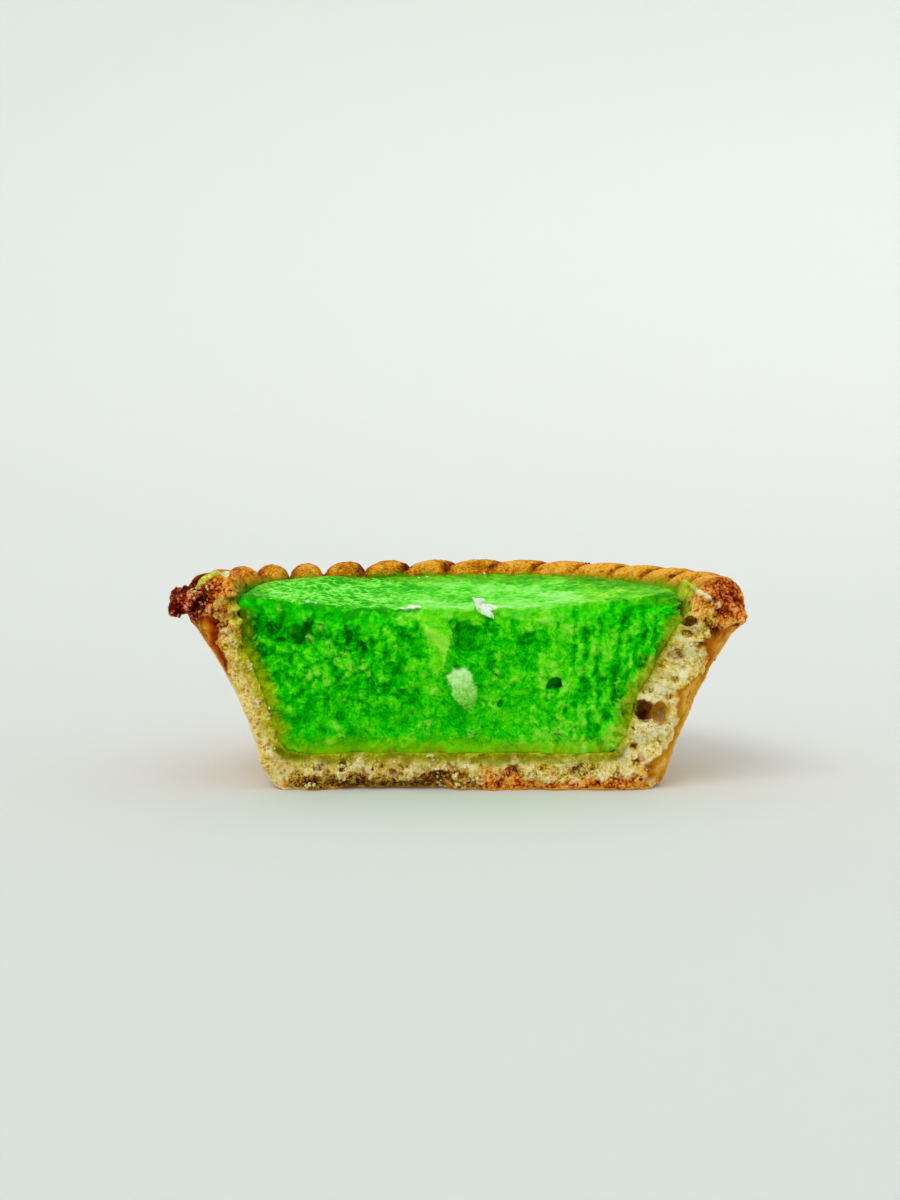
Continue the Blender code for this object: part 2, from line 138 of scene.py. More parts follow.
def softened(mesh, spots, rounds):
    """The spots after each has moved half way to its neighbours' middle, a number of times over."""
    ends = np.empty(len(mesh.edges) * 2, np.int32)
    mesh.edges.foreach_get("vertices", ends)
    first, second = ends.reshape(-1, 2).T
    near = np.concatenate((first, second))
    far = np.concatenate((second, first))
    count = np.bincount(near, minlength=len(spots))
    for _ in range(rounds):
        sums = [np.bincount(near, weights=line[far], minlength=len(spots)) for line in spots.T]
        spots = 0.5 * spots + 0.5 * np.transpose(sums) / count[:, None]
    return spots


def fit(mesh, tree, rounds):
    """Brings the mesh back to the CAD's surface, which the even cells had blurred, and eases it."""
    spots = vertex_places(mesh)[0]
    spots = np.array([tree.find_nearest(spot)[0] for spot in spots.tolist()])
    move(mesh, softened(mesh, spots, rounds))


def move(mesh, spots):
    mesh.vertices.foreach_set("co", spots.astype(np.float32).ravel())
    mesh.update()


def thin(piece):
    """Merges the flattest cells, which are mostly hidden, so that the piece isn't too heavy."""
    count = sum(len(face.vertices) - 2 for face in piece.data.polygons)
    piece.modifiers.new("thin", "DECIMATE").ratio = min(1.0, MOST_TRIANGLES / count)


def mark(mesh, name, values):
    """Stores a value for every vertex, which the piece's material reads."""
    layer = mesh.attributes.new(name, "FLOAT", "POINT")
    layer.data.foreach_set("value", np.clip(values, 0.0, 1.0).astype(np.float32))


def linear(colour):
    """An sRGB hex colour as the linear colour that the shaders take."""
    parts = [int(colour[i:i + 2], 16) / 255 for i in (1, 3, 5)]
    return [c / 12.92 if c <= 0.04045 else ((c + 0.055) / 1.055) ** 2.4 for c in parts] + [1.0]


def add(tree, kind, settings=(), links=()):
    """Adds a node, with its settings by name and its inputs by name as values or as sockets."""
    made = tree.nodes.new(kind)
    for name, value in dict(settings).items():
        setattr(made, name, value)
    for name, value in dict(links).items():
        if isinstance(value, bpy.types.NodeSocket):
            tree.links.new(value, made.inputs[name])
        else:
            made.inputs[name].default_value = value
    return made


def ramp(tree, value, stops):
    """Colours by value, from stops of (place, hex)."""
    made = add(tree, "ShaderNodeValToRGB", links={"Fac": value})
    while len(made.color_ramp.elements) < len(stops):
        made.color_ramp.elements.new(0.5)
    for element, (place, colour) in zip(made.color_ramp.elements, stops):
        element.position = place
        element.color = linear(colour)
    return made.outputs["Color"]


def between(tree, share, under, over):
    """The under colour where the share is 0, and the over colour where it is 1."""
    made = add(tree, "ShaderNodeMix", {"data_type": "RGBA"})
    for place, value in ((0, share), (6, under), (7, over)):
        if isinstance(value, bpy.types.NodeSocket):
            tree.links.new(value, made.inputs[place])
        else:
            made.inputs[place].default_value = value
    return made.outputs[2]


def new_material(name):
    """A material with its tree, its shader and the Object coordinates in mm."""
    material = bpy.data.materials.new(name)
    material.use_nodes = True
    tree = material.node_tree
    coordinates = add(tree, "ShaderNodeTexCoord")
    millimetres = add(
        tree, "ShaderNodeMapping", links={"Vector": coordinates.outputs["Object"], "Scale": (1 / MM,) * 3}
    )
    return material, tree, tree.nodes["Principled BSDF"], millimetres.outputs["Vector"]


def speckle(tree, place, size, detail=4.0, roughness=0.6):
    """Noise in patches of about the given size in mm, stretched to fill 0 to 1."""
    made = add(
        tree, "ShaderNodeTexNoise",
        links={"Vector": place, "Scale": 1.0 / size, "Detail": detail, "Roughness": roughness},
    )
    spread = add(
        tree, "ShaderNodeMapRange", links={"Value": made.outputs["Fac"], "From Min": 0.3, "From Max": 0.7}
    )
    return spread.outputs["Result"]


def maths(tree, operation, first, second):
    made = add(tree, "ShaderNodeMath", {"operation": operation, "use_clamp": True})
    for place, value in enumerate((first, second)):
        if isinstance(value, bpy.types.NodeSocket):
            tree.links.new(value, made.inputs[place])
        else:
            made.inputs[place].default_value = value
    return made.outputs[0]


def own(tree, name):
    """The piece's own stored value of that name."""
    return add(tree, "ShaderNodeAttribute", {"attribute_name": name}).outputs["Fac"]


crust_tree = face_tree("pastry_shell", lambda face: True)
filling_tree = face_tree("matcha_filling", lambda face: True)


# Pits in the broken wall as (x, z, radius) in mm: the first two meet low in the right wall
PITS = ((24.1, 10.9, 1.7), (26.1, 10.7, 1.7), (30.1, 22.9, 0.9))


def is_skin(face):
    """True on the baked outside: not the break, its pits or the side that holds the filling."""
    middle = face.center / MM - Vector(TART_AXIS)
    broken = face.normal.y < -0.45 and middle.y < 1.5
    inward = face.normal.xy.dot(middle.xy) < 0.0 and middle.z < 27.0 and middle.xy.length < 35.0
    floor = face.normal.z > 0.5 and middle.z < 8.0
    pitted = any(math.hypot(middle.x - x, middle.z - z) < radius + 1.2 for x, z, radius in PITS)
    near = filling_tree.find_nearest(face.center)[3] < JOINT_REACH * MM
    return not (broken or inward or floor or near or (pitted and middle.y < 0.0))


skin_tree = face_tree("pastry_shell", is_skin)


def on_crust_break(face):
    middle = face.calc_center_median() / MM - Vector(TART_AXIS)
    return middle.y < BREAK_BACK or (face.normal.y < -0.4 and middle.y < 1.5)


def on_rim(face):
    middle = face.calc_center_median() / MM - Vector(TART_AXIS)
    return middle.z > CRUST_RIM_LOW and middle.y > BREAK_BACK + 1.5 and middle.xy.length > 29.0


shape = even_copy("pastry_shell", CRUST_VOXEL)
split(shape, on_crust_break, CRUST_BREAK_CUTS)
split(shape, on_rim, CRUST_RIM_CUTS)
crust = new_piece("pastry_shell_baked", shape)
fit(crust.data, crust_tree, CRUST_EASING)
spots, places, normals = vertex_places(crust.data)
x, y, z = places.T
skin_depth = distance(skin_tree, spots)
joint_depth = distance(filling_tree, spots)
softer = softened(crust.data, spots, 24)
hollow = np.sum((softer - spots) * normals, axis=1) / MM
wide_hollow = np.sum((softened(crust.data, softer, 80) - spots) * normals, axis=1) / MM
outward = np.sum(normals[:, :2] * places[:, :2], axis=1) / np.hypot(x, y)
broken = smooth(0.12, 0.4, skin_depth) * smooth(0.5, -0.3, normals[:, 1]) * smooth(2.0, 0.5, y)
broken = np.maximum(broken, smooth(-2.3, -3.2, y) * smooth(-31.2, -32.0, x) * smooth(22.0, 24.0, z))

KNOB = np.array((-37.2, -1.9, 25.5))
knob = smooth(4.2, 2.6, np.linalg.norm((places - KNOB) * (1.0, 0.8, 1.0), axis=1))
uneven = lumps(places, 2.2, 3.0)
ragged = lumps(places, 0.8, 7.0)

# The lobes that the rim was pinched into: how far each spot is from the line between two of them
LOBES = 30
LOBE_START = math.radians(1.0)
LOBE_TWIST = 11.5
LOBE_RADIUS = 37.5
lobe_angle = math.tau / LOBES
lobe_place = (np.arctan2(x, y) - LOBE_START) / lobe_angle - (np.hypot(x, y) - LOBE_RADIUS) / LOBE_TWIST
from_line = np.abs(lobe_place - np.round(lobe_place)) * lobe_angle * LOBE_RADIUS
inside_rim = smooth(0.3, -0.3, outward)
pinched = (1.0 - broken) * smooth(21.5, 24.0, z - 4.0 * inside_rim)
pinched *= 1.0 - 0.45 * smooth(-17.0, 6.0, x)
lobe_line = pinched * np.exp(-((from_line / 0.32) ** 2))
lobe_flank = pinched * np.exp(-((from_line / 1.1) ** 2))

# How wide the browned layer is at the break: wide high on the right, thin low on the left
right_width = 1.5 + 1.5 * np.exp(-(((z - 19.8) / 1.7) ** 2)) - 0.7 * np.exp(-(((z - 15.7) / 1.1) ** 2))
left_width = 0.3 + 2.0 * smooth(13.5, 19.0, z)
wall_width = np.where(x > 0.0, right_width, left_width)
on_base = smooth(4.5, 2.5, z) * smooth(29.0, 26.0, x) * smooth(-26.0, -23.5, x + 0.8 * uneven)
base_width = 2.2 + 1.2 * uneven - 0.4 * smooth(5.0, 15.0, x)
width = wall_width * (1.0 - on_base) + base_width * on_base + 0.3 * uneven + 0.35 * ragged
browned = 1.0 - broken * smooth(0.7, 1.3, skin_depth / np.maximum(width, 0.1))

# Where each spot shows on the plane of the break, seen from the camera
sight = (CAMERA_FROM_AXIS.y + 4.0) / (CAMERA_FROM_AXIS.y - y)
seen_x = CAMERA_FROM_AXIS.x + (x - CAMERA_FROM_AXIS.x) * sight
seen_z = CAMERA_FROM_AXIS.z + (z - CAMERA_FROM_AXIS.z) * sight

# The rim's ends: at the right a pale ridge with brown above it, and dark red crumb outside both
ridge_height = (seen_z - 27.6) * math.cos(math.radians(32)) + (seen_x - 30.0) * math.sin(math.radians(32))
ridge_height += 0.25 * ragged
torn_side = smooth(27.4, 28.0, seen_x) * smooth(9.5, 7.0, y) * smooth(22.0, 23.0, seen_z) * smooth(0.5, 0.1, ridge_height)
torn_crumb = torn_side * smooth(29.1, 29.6, seen_x + 0.2 * ragged)
broken = np.maximum(broken, torn_crumb * smooth(27.6, 27.2, z))
right_end = smooth(27.0, 28.5, x) * smooth(1.0, -1.0, y)
above_ridge = smooth(0.1, 0.35, ridge_height) * right_end
outer_crumb = smooth(32.9, 33.7, x + 0.5 * uneven + 0.3 * ragged) * smooth(19.5, 21.0, z + ragged) * broken
ridge = np.exp(-(((ridge_height + 0.1) / 0.26) ** 2)) * smooth(29.0, 29.7, x) * smooth(34.6, 33.8, x)
ridge *= smooth(9.5, 7.0, y) * smooth(-0.7, -0.1, ragged)
left_end = smooth(-30.9, -31.8, x + 0.3 * uneven - 1.0 * smooth(25.0, 26.0, z))
left_end *= smooth(21.5, 23.0, z + 0.5 * uneven + 0.45 * (x + 33)) * broken
browned = np.maximum.reduce((browned, above_ridge, outer_crumb, left_end)) * (1.0 - ridge)
wall_edge = smooth(19.0, 17.0, z) * smooth(18.0, 20.0, np.abs(x)) * smooth(2.0, 4.0, z + 0.3 * (np.abs(x) - 22.0))
browned *= 1.0 - 0.6 * wall_edge * broken * smooth(1.7, 1.1, skin_depth)
golden = smooth(-0.7, 0.0, uneven + 0.6 * ragged) * smooth(-22.0, -24.0, x) * smooth(2.0, 4.0, z)
golden = np.maximum(golden, wall_edge * smooth(2.2, 1.4, skin_depth))
golden = np.maximum(golden, 0.8 * torn_crumb)
golden = np.maximum(golden, 0.8 * smooth(-0.3, 0.3, uneven + 0.5 * ragged) * smooth(4.6, 4.0, z) * smooth(3.0, -3.0, x))
browned = np.maximum(browned, 0.6 * smooth(3.4, 1.0, np.hypot(x - 31.6, z - 25.4)) * right_end * broken)
golden = np.maximum(golden, 0.8 * smooth(0.15, 0.5, uneven - 0.5 * ragged) * smooth(4.2, 3.4, z))
golden = np.maximum(golden, smooth(3.4, 2.6, joint_depth) * smooth(-23.0, -24.0, x) * smooth(17.0, 13.0, z))
golden = np.maximum(golden, 0.5 * smooth(0.1, 0.5, lumps(places, 2.8, 43.0)))
corner = smooth(24.5, 27.0, x + 0.5 * uneven) * smooth(6.5, 4.5, z)
golden = np.maximum(golden, 0.9 * corner)
browned *= 1.0 - 0.3 * corner * smooth(-0.3, 0.2, ragged)
left_wall = smooth(-22.0, -23.5, x) * smooth(20.0, 18.0, z)
golden = np.maximum(golden, (0.6 * smooth(3.0, 5.0, z) + 0.4 * smooth(7.0, 9.0, z)) * left_wall)

fine = lumps(places, 0.45, 11.0)
finest = lumps(places, 0.26, 17.0)
coarse = lumps(places, 1.3, 23.0)
crumb = grains(places, 0.62, 5.0)
small_crumb = grains(places, 0.36, 6.0)
gaps = smooth(0.36, 0.6, lumps(places, 1.7, 31.0))
small_gaps = smooth(0.38, 0.6, lumps(places, 0.62, 37.0))
clods = grains(places, 1.5, 28.0)
crumb_relief = 0.15 * (crumb - 0.35) + 0.08 * (small_crumb - 0.35) + 0.12 * fine + 0.08 * finest
crumb_relief += 0.2 * coarse - 0.3 * gaps - 0.2 * small_gaps + left_end * 0.6 * (clods - 0.3)
skin_relief = 0.07 * fine + 0.05 * finest + 0.08 * coarse - 0.05 * small_gaps
knob_relief = 0.3 * (grains(places, 1.1, 8.0) - 0.3) + 0.3 * (crumb - 0.35) + 0.3 * coarse + 0.1 * finest
moist = smooth(1.9, 1.3, joint_depth - 0.3 * uneven) * smooth(6.6, 5.6, z) * smooth(27.0, 23.0, np.abs(x + 2.0))

# Along the walls the break shows a smooth band of skin, orange outside and dark red within
right_band_width = 0.9 + 3.6 * np.exp(-(((z - 20.1) / 1.7) ** 2)) + 0.5 * smooth(15.5, 13.5, z)
right_band_width += 0.5 * smooth(6.5, 4.5, z)
band_depth = skin_depth / np.where(x > 0.0, right_band_width, 0.6 + 1.5 * smooth(15.5, 18.5, z)) + 0.15 * ragged
left_band = smooth(-26.0, -27.5, x) * smooth(14.0, 16.5, z) * smooth(24.2, 23.2, z)
right_band = smooth(20.0, 21.0, x - 3.5 * smooth(6.0, 4.0, z)) * smooth(0.8, 2.0, z) * smooth(22.6, 21.4, z)
skin_band = broken * smooth(1.05, 0.9, band_depth) * (left_band + right_band)
relief = broken * crumb_relief * (1.0 - 0.7 * moist) * (1.0 - 0.7 * skin_band) + (1.0 - broken) * skin_relief
relief = relief * (1.0 - knob) + knob * knob_relief + 0.25 * ridge

# Hollows of the broken crust as (x, z, radius, depth, how dark) in mm; how dark is the painted shade in each
CRUST_HOLLOWS = (
    (-14.7, 1.9, 1.0, 0.5, 0.9), (-13.4, 2.2, 0.8, 0.4, 0.7), (-19.4, 3.1, 0.8, 0.4, 0.5), (6.1, 2.8, 0.9, 0.5, 0.9),
    (14.8, 2.6, 0.8, 0.4, 0.7), (20.6, 1.7, 1.0, 0.4, 0.8), (22.6, 1.9, 0.7, 0.4, 0.7), (23.5, 4.2, 0.7, 0.4, 0.8),
    (-9.4, 2.2, 0.8, 0.4, 0.6), (-2.0, 3.1, 0.7, 0.3, 0.5), (3.4, 3.5, 0.5, 0.3, 0.6), (-22.3, 2.4, 0.9, 0.3, 0.4),
    (-5.6, 1.3, 1.2, 0.3, 0.6), (-18.0, 1.1, 1.3, 0.3, 0.6), (0.9, 0.9, 0.9, 0.3, 0.5), (24.8, 2.9, 0.6, 0.3, 0.7),
    (30.3, 22.8, 0.8, 0.35, 0.5), (33.2, 21.6, 0.7, 0.4, 0.9), (31.7, 19.6, 0.6, 0.4, 0.7), (28.8, 18.4, 0.9, 0.4, 0.6),
    (24.5, 13.3, 0.35, 0.3, 0.9), (25.3, 13.6, 0.25, 0.3, 0.8), (34.5, 26.4, 0.8, 0.4, 0.9), (35.9, 24.4, 0.5, 0.4, 0.9),
    (34.2, 24.2, 0.5, 0.4, 0.9), (33.2, 25.8, 0.6, 0.3, 0.8), (29.2, 16.6, 0.5, 0.3, 0.5), (31.9, 22.9, 0.4, 0.3, 0.7),
    (-33.4, 28.0, 0.8, 0.4, 0.7), (-34.8, 26.0, 0.8, 0.4, 0.5), (-33.2, 24.2, 0.7, 0.4, 0.7),
    (-32.6, 22.4, 0.9, 0.4, 0.8), (-35.2, 25.1, 0.6, 0.4, 0.5), (-31.9, 21.0, 0.6, 0.3, 0.7),
)
crust_dip = np.zeros(len(places))
crust_painted_shade = np.zeros(len(places))
for dip_x, dip_z, radius, depth, dark in CRUST_HOLLOWS:
    apart = np.hypot(x - dip_x + 0.35 * ragged, 1.25 * (z - dip_z) + 0.35 * fine) / radius
    crust_dip = np.maximum(crust_dip, depth * smooth(1.15, 0.5, apart) * broken)
    crust_painted_shade = np.maximum(crust_painted_shade, dark * smooth(1.1, 0.5, apart) * broken)
relief -= crust_dip + 0.4 * lobe_line + 0.15 * lobe_flank
shallow = smooth(-5.0, 15.0, x)
groove_and_painted_shade = smooth(0.0, 0.24 - 0.16 * shallow, hollow) * (1.0 - broken) * smooth(22.0, 24.0, z)
relief -= (0.7 - 0.35 * shallow) * groove_and_painted_shade
BULGES = (
    ((37.3, -4.0, 23.6), 0.6), ((36.2, -3.3, 27.6), 0.8), ((-38.9, -3.0, 24.2), 0.7), ((-38.6, -2.8, 27.0), -0.6),
)
for bulge_place, bulge in BULGES:
    relief += bulge * np.exp(-((places - bulge_place) ** 2).sum(axis=1) / 1.1)
pit = np.zeros(len(places))
for pit_x, pit_z, radius in PITS:
    apart = np.hypot(x - pit_x + 0.3 * ragged, z - pit_z + 0.3 * fine) / radius
    pit = np.maximum(pit, smooth(1.05, 0.75, apart) * broken)

# The small ring of crumb beside the filling's left corner
ring_place = np.hypot(x + 30.6, (z - 23.6) * 0.85)
ring_share = smooth(1.7, 1.3, ring_place) * smooth(0.5, -1.5, y)
ring = np.exp(-(((ring_place - 0.85) / 0.35) ** 2)) * ring_share
relief += 0.6 * ring - 0.4 * smooth(0.6, 0.1, ring_place) * ring_share
relief *= smooth(0.2, 0.6, joint_depth)
standing = smooth(0.2, 0.8, z) + smooth(-0.7, -0.4, normals[:, 2])
relief *= np.minimum(standing, 1.0)
spots = spots + normals * (relief * MM)[:, None]
sway = np.column_stack([lumps(places, 0.9, seed) for seed in (81.0, 85.0, 89.0)])
spots += sway * (0.22 * MM * broken * smooth(0.3, 0.8, z) * smooth(0.3, 0.8, joint_depth))[:, None]


def joint_shift(places):
    """How far in mm the joint bellies in at the right of the break, along X."""
    x, y, z = places.T
    amount = 0.7 * smooth(9.0, 14.0, z) + 0.5 * smooth(15.0, 19.0, z)
    return amount * smooth(25.0, 21.0, z) * smooth(15.0, 20.0, x) * smooth(8.0, 0.0, y)


spots[:, 0] -= joint_shift(places) * smooth(3.0, 0.5, joint_depth) * MM

# The base's left corner has crumbled away a little
spots[:, 0] += 1.2 * MM * smooth(4.0, 0.0, z) * smooth(-22.0, -26.0, x) * smooth(3.0, -1.0, y)
spots[:, 2] = np.maximum(spots[:, 2], 0.0)
move(crust.data, spots)

# Whitish patches of less baked crumb as (x, z, radius) in mm
PALE_PATCHES = (
    (30.9, 21.9, 0.9), (30.0, 20.5, 0.8), (29.9, 18.6, 0.9), (21.8, 7.6, 0.9), (26.9, 9.3, 1.0), (25.0, 8.7, 0.9),
    (-28.6, 16.8, 0.7), (-27.9, 11.8, 0.7), (-26.4, 10.2, 0.6), (-30.6, 19.6, 0.6), (-25.9, 6.0, 1.0), (-24.0, 4.6, 1.2),
    (-32.0, 21.6, 0.5), (26.4, 13.3, 1.0), (28.3, 15.3, 1.0),
)
pale_patches = np.zeros(len(places))
for patch_x, patch_z, radius in PALE_PATCHES:
    apart = np.hypot(x - patch_x + 0.4 * ragged, z - patch_z + 0.4 * fine) / radius
    pale_patches = np.maximum(pale_patches, smooth(1.1, 0.5, apart) * broken)
foot = 26.2 + 0.8 * smooth(-18.0, -27.0, x) + 0.3 * smooth(5.0, 15.0, x) + 0.2 * smooth(25.0, 28.0, x)
foot_line = z + 0.6 * uneven + 0.35 * ragged
inner_side = smooth(0.15, -0.25, outward) * (1.0 - broken) * smooth(foot + 0.9, foot - 0.1, foot_line)
inner_side *= smooth(4.0, 7.0, z) * smooth(34.5, 33.5, np.hypot(x, y))
stain_width = 1.5 + 0.5 * uneven + 0.3 * ragged + 0.7 * on_base
stain_width += 0.4 * smooth(-20.0, -22.0, x)
stained = smooth(1.25, 0.6, joint_depth / stain_width) * broken
stained *= 1.0 - 0.45 * smooth(20.0, 24.0, x) * smooth(22.0, 20.0, z)
stained *= 1.0 - 0.8 * np.maximum(pit, crust_painted_shade)
foot_share = np.maximum(inner_side, smooth(1.0, 0.4, joint_depth) * (1.0 - broken))
lime = smooth(27.6, 28.2, seen_x) * smooth(30.3, 29.7, seen_x + 0.3 * ragged)
lime *= smooth(25.4, 26.2, seen_z + 0.4 * ragged)
lime = np.maximum(lime, smooth(27.8, 28.6, seen_x) * np.exp(-(((seen_z - 27.4) / 0.35) ** 2)))
lime *= torn_side
# Painted shadow: dark olive in the crevices between the crust and the filling's corners.
crevice_painted_shadow = torn_side * smooth(29.4, 28.8, seen_x + 0.2 * ragged)
crevice_painted_shadow = np.maximum(crevice_painted_shadow, np.exp(-((seen_x + 30.9) / 0.9) ** 2 - ((seen_z - 26.0) / 0.45) ** 2) * smooth(3.0, 0.0, y))
crevice_painted_shadow = np.maximum(crevice_painted_shadow, np.exp(-((seen_x + 29.7) / 0.7) ** 2 - ((seen_z - 25.4) / 0.7) ** 2) * smooth(3.0, 0.0, y))
# Painted shade in the crust's hollows goes into the scorched colour, and low on the right wall into the sooty one.
wall_painted_shade = crust_painted_shade * smooth(5.0, 6.0, z) * smooth(33.0, 32.0, x) * smooth(0.0, 1.0, x)
mark(crust.data, "broken", broken)
mark(crust.data, "browned", browned)
mark(crust.data, "golden", np.maximum(0.9 * golden, ring))
mark(crust.data, "scorch_and_painted_shade", np.maximum.reduce((
    knob,
    0.5 * left_end * (1.0 - skin_band) * smooth(0.28, 0.1, clods + 0.15 * ragged + 0.25 * smooth(-34.5, -32.5, x)),
    0.9 * on_base * browned * broken * smooth(0.1, 0.4, 0.7 * coarse + 0.6 * ragged - 0.3 * smooth(-2.0, 12.0, x)),
    crust_painted_shade - wall_painted_shade,
)))
mark(crust.data, "toasted", np.maximum.reduce((
    0.85 * outer_crumb * smooth(0.25, -0.2, ragged + 0.7 * coarse),
    above_ridge * (0.55 + 0.4 * smooth(32.0, 35.0, x)) * smooth(-0.4, 0.2, uneven + 0.6 * ragged),
    0.75 * smooth(-0.25, 0.3, outward + 0.1 * ragged) * smooth(26.0, 28.4, z + 0.4 * uneven) * (1.0 - broken),
)))
# Painted light and shade in the pits: dark in the left pit, lighter towards the right one, as if lit.
mark(crust.data, "pit_painted_light", smooth(23.4, 26.2, x + 0.4 * ragged) * (1.0 - 0.4 * smooth(28.0, 29.0, x)))
mark(crust.data, "pit", pit)
mark(crust.data, "stained", stained)
mark(crust.data, "foot", foot_share)
mark(crust.data, "moist", moist * smooth(0.2, 0.7, 0.5 + 0.4 * uneven + 0.3 * ragged))
mark(crust.data, "moist_height", (z - 3.7) / 2.0)
# The skin's tone. It has painted shade, darker in the lobes' hollows and along their flanks. It has painted light that
# evens out the key light from the upper left: lighter on the right of the rim and low on the right wall, darker on the
# left. It is also lighter on the lower outer walls.
wall_skin = smooth(20.5, 16.5, z - 2.5 * smooth(0.0, 20.0, x)) * smooth(0.0, 0.4, outward)
wall_skin *= 1.0 - 0.5 * smooth(2.0, 14.0, y) * smooth(0.0, 15.0, x)
painted_light_balance = smooth(21.0, 23.0, z) * (0.18 * smooth(0.0, 18.0, x) - 0.14 * smooth(-4.0, -16.0, x))
painted_light_balance += 0.2 * smooth(16.0, 13.0, z) * smooth(0.0, 20.0, x) * smooth(14.0, 2.0, y)
mark(crust.data, "painted_skin_light_and_shade", 0.32 + painted_light_balance - 1.2 * wide_hollow - 0.7 * lobe_flank + 0.25 * wall_skin)
chipped = smooth(-1.5, -2.3, y + 0.9 * uneven + 0.8 * ragged) * smooth(-20.0, -22.0, x) * (1.0 - broken)
chipped *= smooth(17.5, 15.5, z + uneven)
pale_patches *= 0.5 + 0.25 * smooth(-20.0, -22.0, x)
mark(crust.data, "pale", np.maximum.reduce((ridge, pale_patches, 0.75 * chipped)))
mark(crust.data, "joint", smooth(0.9, 0.3, joint_depth) * broken)
mark(crust.data, "skin_band", skin_band)
mark(crust.data, "band_depth", band_depth + 0.14 * smooth(0.0, -1.0, x))
mark(crust.data, "band_low", (0.4 + 0.6 * smooth(16.5, 14.5, z) - 0.4 * smooth(4.5, 3.0, z)) * smooth(0.0, 1.0, x))
mark(crust.data, "lime", lime)
mark(crust.data, "crevice_painted_shadow", crevice_painted_shadow * (1.0 - lime))
mark(crust.data, "foot_low", smooth(26.9, 26.1, foot_line))
soot = on_base * broken * smooth(5.0, -3.0, x + 1.5 * uneven) * smooth(0.2, 0.6, browned - 0.3 * ragged)
mark(crust.data, "soot_and_painted_shade", np.maximum(soot, 1.2 * wall_painted_shade))
# Painted shade: dark brown in the grooves and along the lines between the rim's lobes.
mark(crust.data, "groove_and_painted_shade", np.maximum(0.7 * groove_and_painted_shade, 0.85 * lobe_line))
# Painted shade and light in the crumb's colour: it follows the relief, darker in the gaps and hollows and lighter on
# the grains. There is less of it on the left wall, and it is lighter near the walls' edges.
height = (1.1 * crumb_relief + 0.25 * ring) * broken + (0.25 * coarse + 0.3 * fine) * (1.0 - broken)
height = height * (1.0 - knob) + (0.8 * knob_relief - 0.1) * knob
height *= 1.0 - 0.45 * left_wall
height += 0.1 * smooth(20.0, 22.0, np.abs(x)) * smooth(19.0, 15.0, z)
mark(crust.data, "height", 0.43 + height)

# Baked shortcrust: dry and matt, its crumb sandy with dark gaps, its skin golden to red-brown
material, tree, shader, place = new_material("baked_shortcrust")
patches = speckle(tree, place, 2.6)
mottle = speckle(tree, place, 1.4, detail=3.0)
grit = speckle(tree, place, 0.3, detail=3.0)
sand = speckle(tree, place, 0.6, detail=4.0, roughness=0.75)
fine_tone = maths(tree, "ADD", maths(tree, "MULTIPLY", grit, 0.18), maths(tree, "MULTIPLY", sand, 0.24))
crumb_tone = maths(tree, "ADD", fine_tone, maths(tree, "MULTIPLY", mottle, 0.16))
# The crumb's colour follows the stored relief height, as painted shade in its gaps.
texture = maths(tree, "ADD", maths(tree, "MULTIPLY", own(tree, "height"), 0.68), crumb_tone)
crumb_colour = ramp(
    tree, texture, ((0.26, "#603000"), (0.37, "#a88018"), (0.46, "#d8ba4a"), (0.56, "#f2da78"), (0.7, "#fff4c8")),
)
golden_crumb = ramp(tree, texture, ((0.26, "#703000"), (0.38, "#b47c00"), (0.5, "#e0b024"), (0.67, "#ffe890")))
brown_crumb = ramp(tree, texture, ((0.32, "#580400"), (0.43, "#bc4c00"), (0.53, "#ec8810"), (0.66, "#fcc060")))
skin_tone = maths(tree, "ADD", maths(tree, "MULTIPLY", patches, 0.22), maths(tree, "MULTIPLY", crumb_tone, 1.1))
# The skin takes its painted light and shade from the stored tone.
skin_tone = maths(tree, "ADD", skin_tone, maths(tree, "MULTIPLY", own(tree, "painted_skin_light_and_shade"), 0.5))
skin_colour = ramp(
    tree, skin_tone,
    ((0.3, "#541400"), (0.43, "#8c3c00"), (0.55, "#b86c00"), (0.67, "#dc9010"), (0.82, "#fcb848")),
)
# Painted shade in the grooves between the lobes.
skin_colour = between(tree, own(tree, "groove_and_painted_shade"), skin_colour, linear("#5a2000"))
baked = between(tree, own(tree, "broken"), skin_colour, brown_crumb)
colour = between(tree, own(tree, "golden"), crumb_colour, golden_crumb)
colour = between(tree, own(tree, "browned"), colour, baked)
# Pit colour: dark red-brown as painted shade, golden where the pit is painted as lit.
pit_place = maths(tree, "ADD", maths(tree, "MULTIPLY", own(tree, "pit_painted_light"), 0.7), maths(tree, "MULTIPLY", sand, 0.3))
pit_tone = ramp(tree, pit_place, ((0.1, "#300800"), (0.35, "#641c04"), (0.6, "#a05c08"), (0.85, "#e0a838")))
colour = between(tree, own(tree, "pit"), colour, pit_tone)
pale_crumb = ramp(tree, texture, ((0.28, "#c09434"), (0.45, "#f0d478"), (0.64, "#fff6c8")))
colour = between(tree, own(tree, "pale"), colour, pale_crumb)
band_place = maths(tree, "ADD", maths(tree, "MULTIPLY", sand, 0.25), maths(tree, "MULTIPLY", own(tree, "band_depth"), 0.8))
band_tone = ramp(
    tree, band_place,
    ((0.1, "#fcc464"), (0.3, "#f09414"), (0.55, "#cc6404"), (0.75, "#a03400"), (0.95, "#701400")),
)
low_band_tone = ramp(tree, band_place, ((0.1, "#f4cc68"), (0.4, "#e4a824"), (0.7, "#cc8808"), (0.95, "#b87404")))
band_tone = between(tree, own(tree, "band_low"), band_tone, low_band_tone)
colour = between(tree, own(tree, "skin_band"), colour, band_tone)
toasted_tone = ramp(tree, texture, ((0.4, "#500800"), (0.5, "#842400"), (0.59, "#b44004"), (0.7, "#ec8c44")))
colour = between(tree, own(tree, "toasted"), colour, toasted_tone)
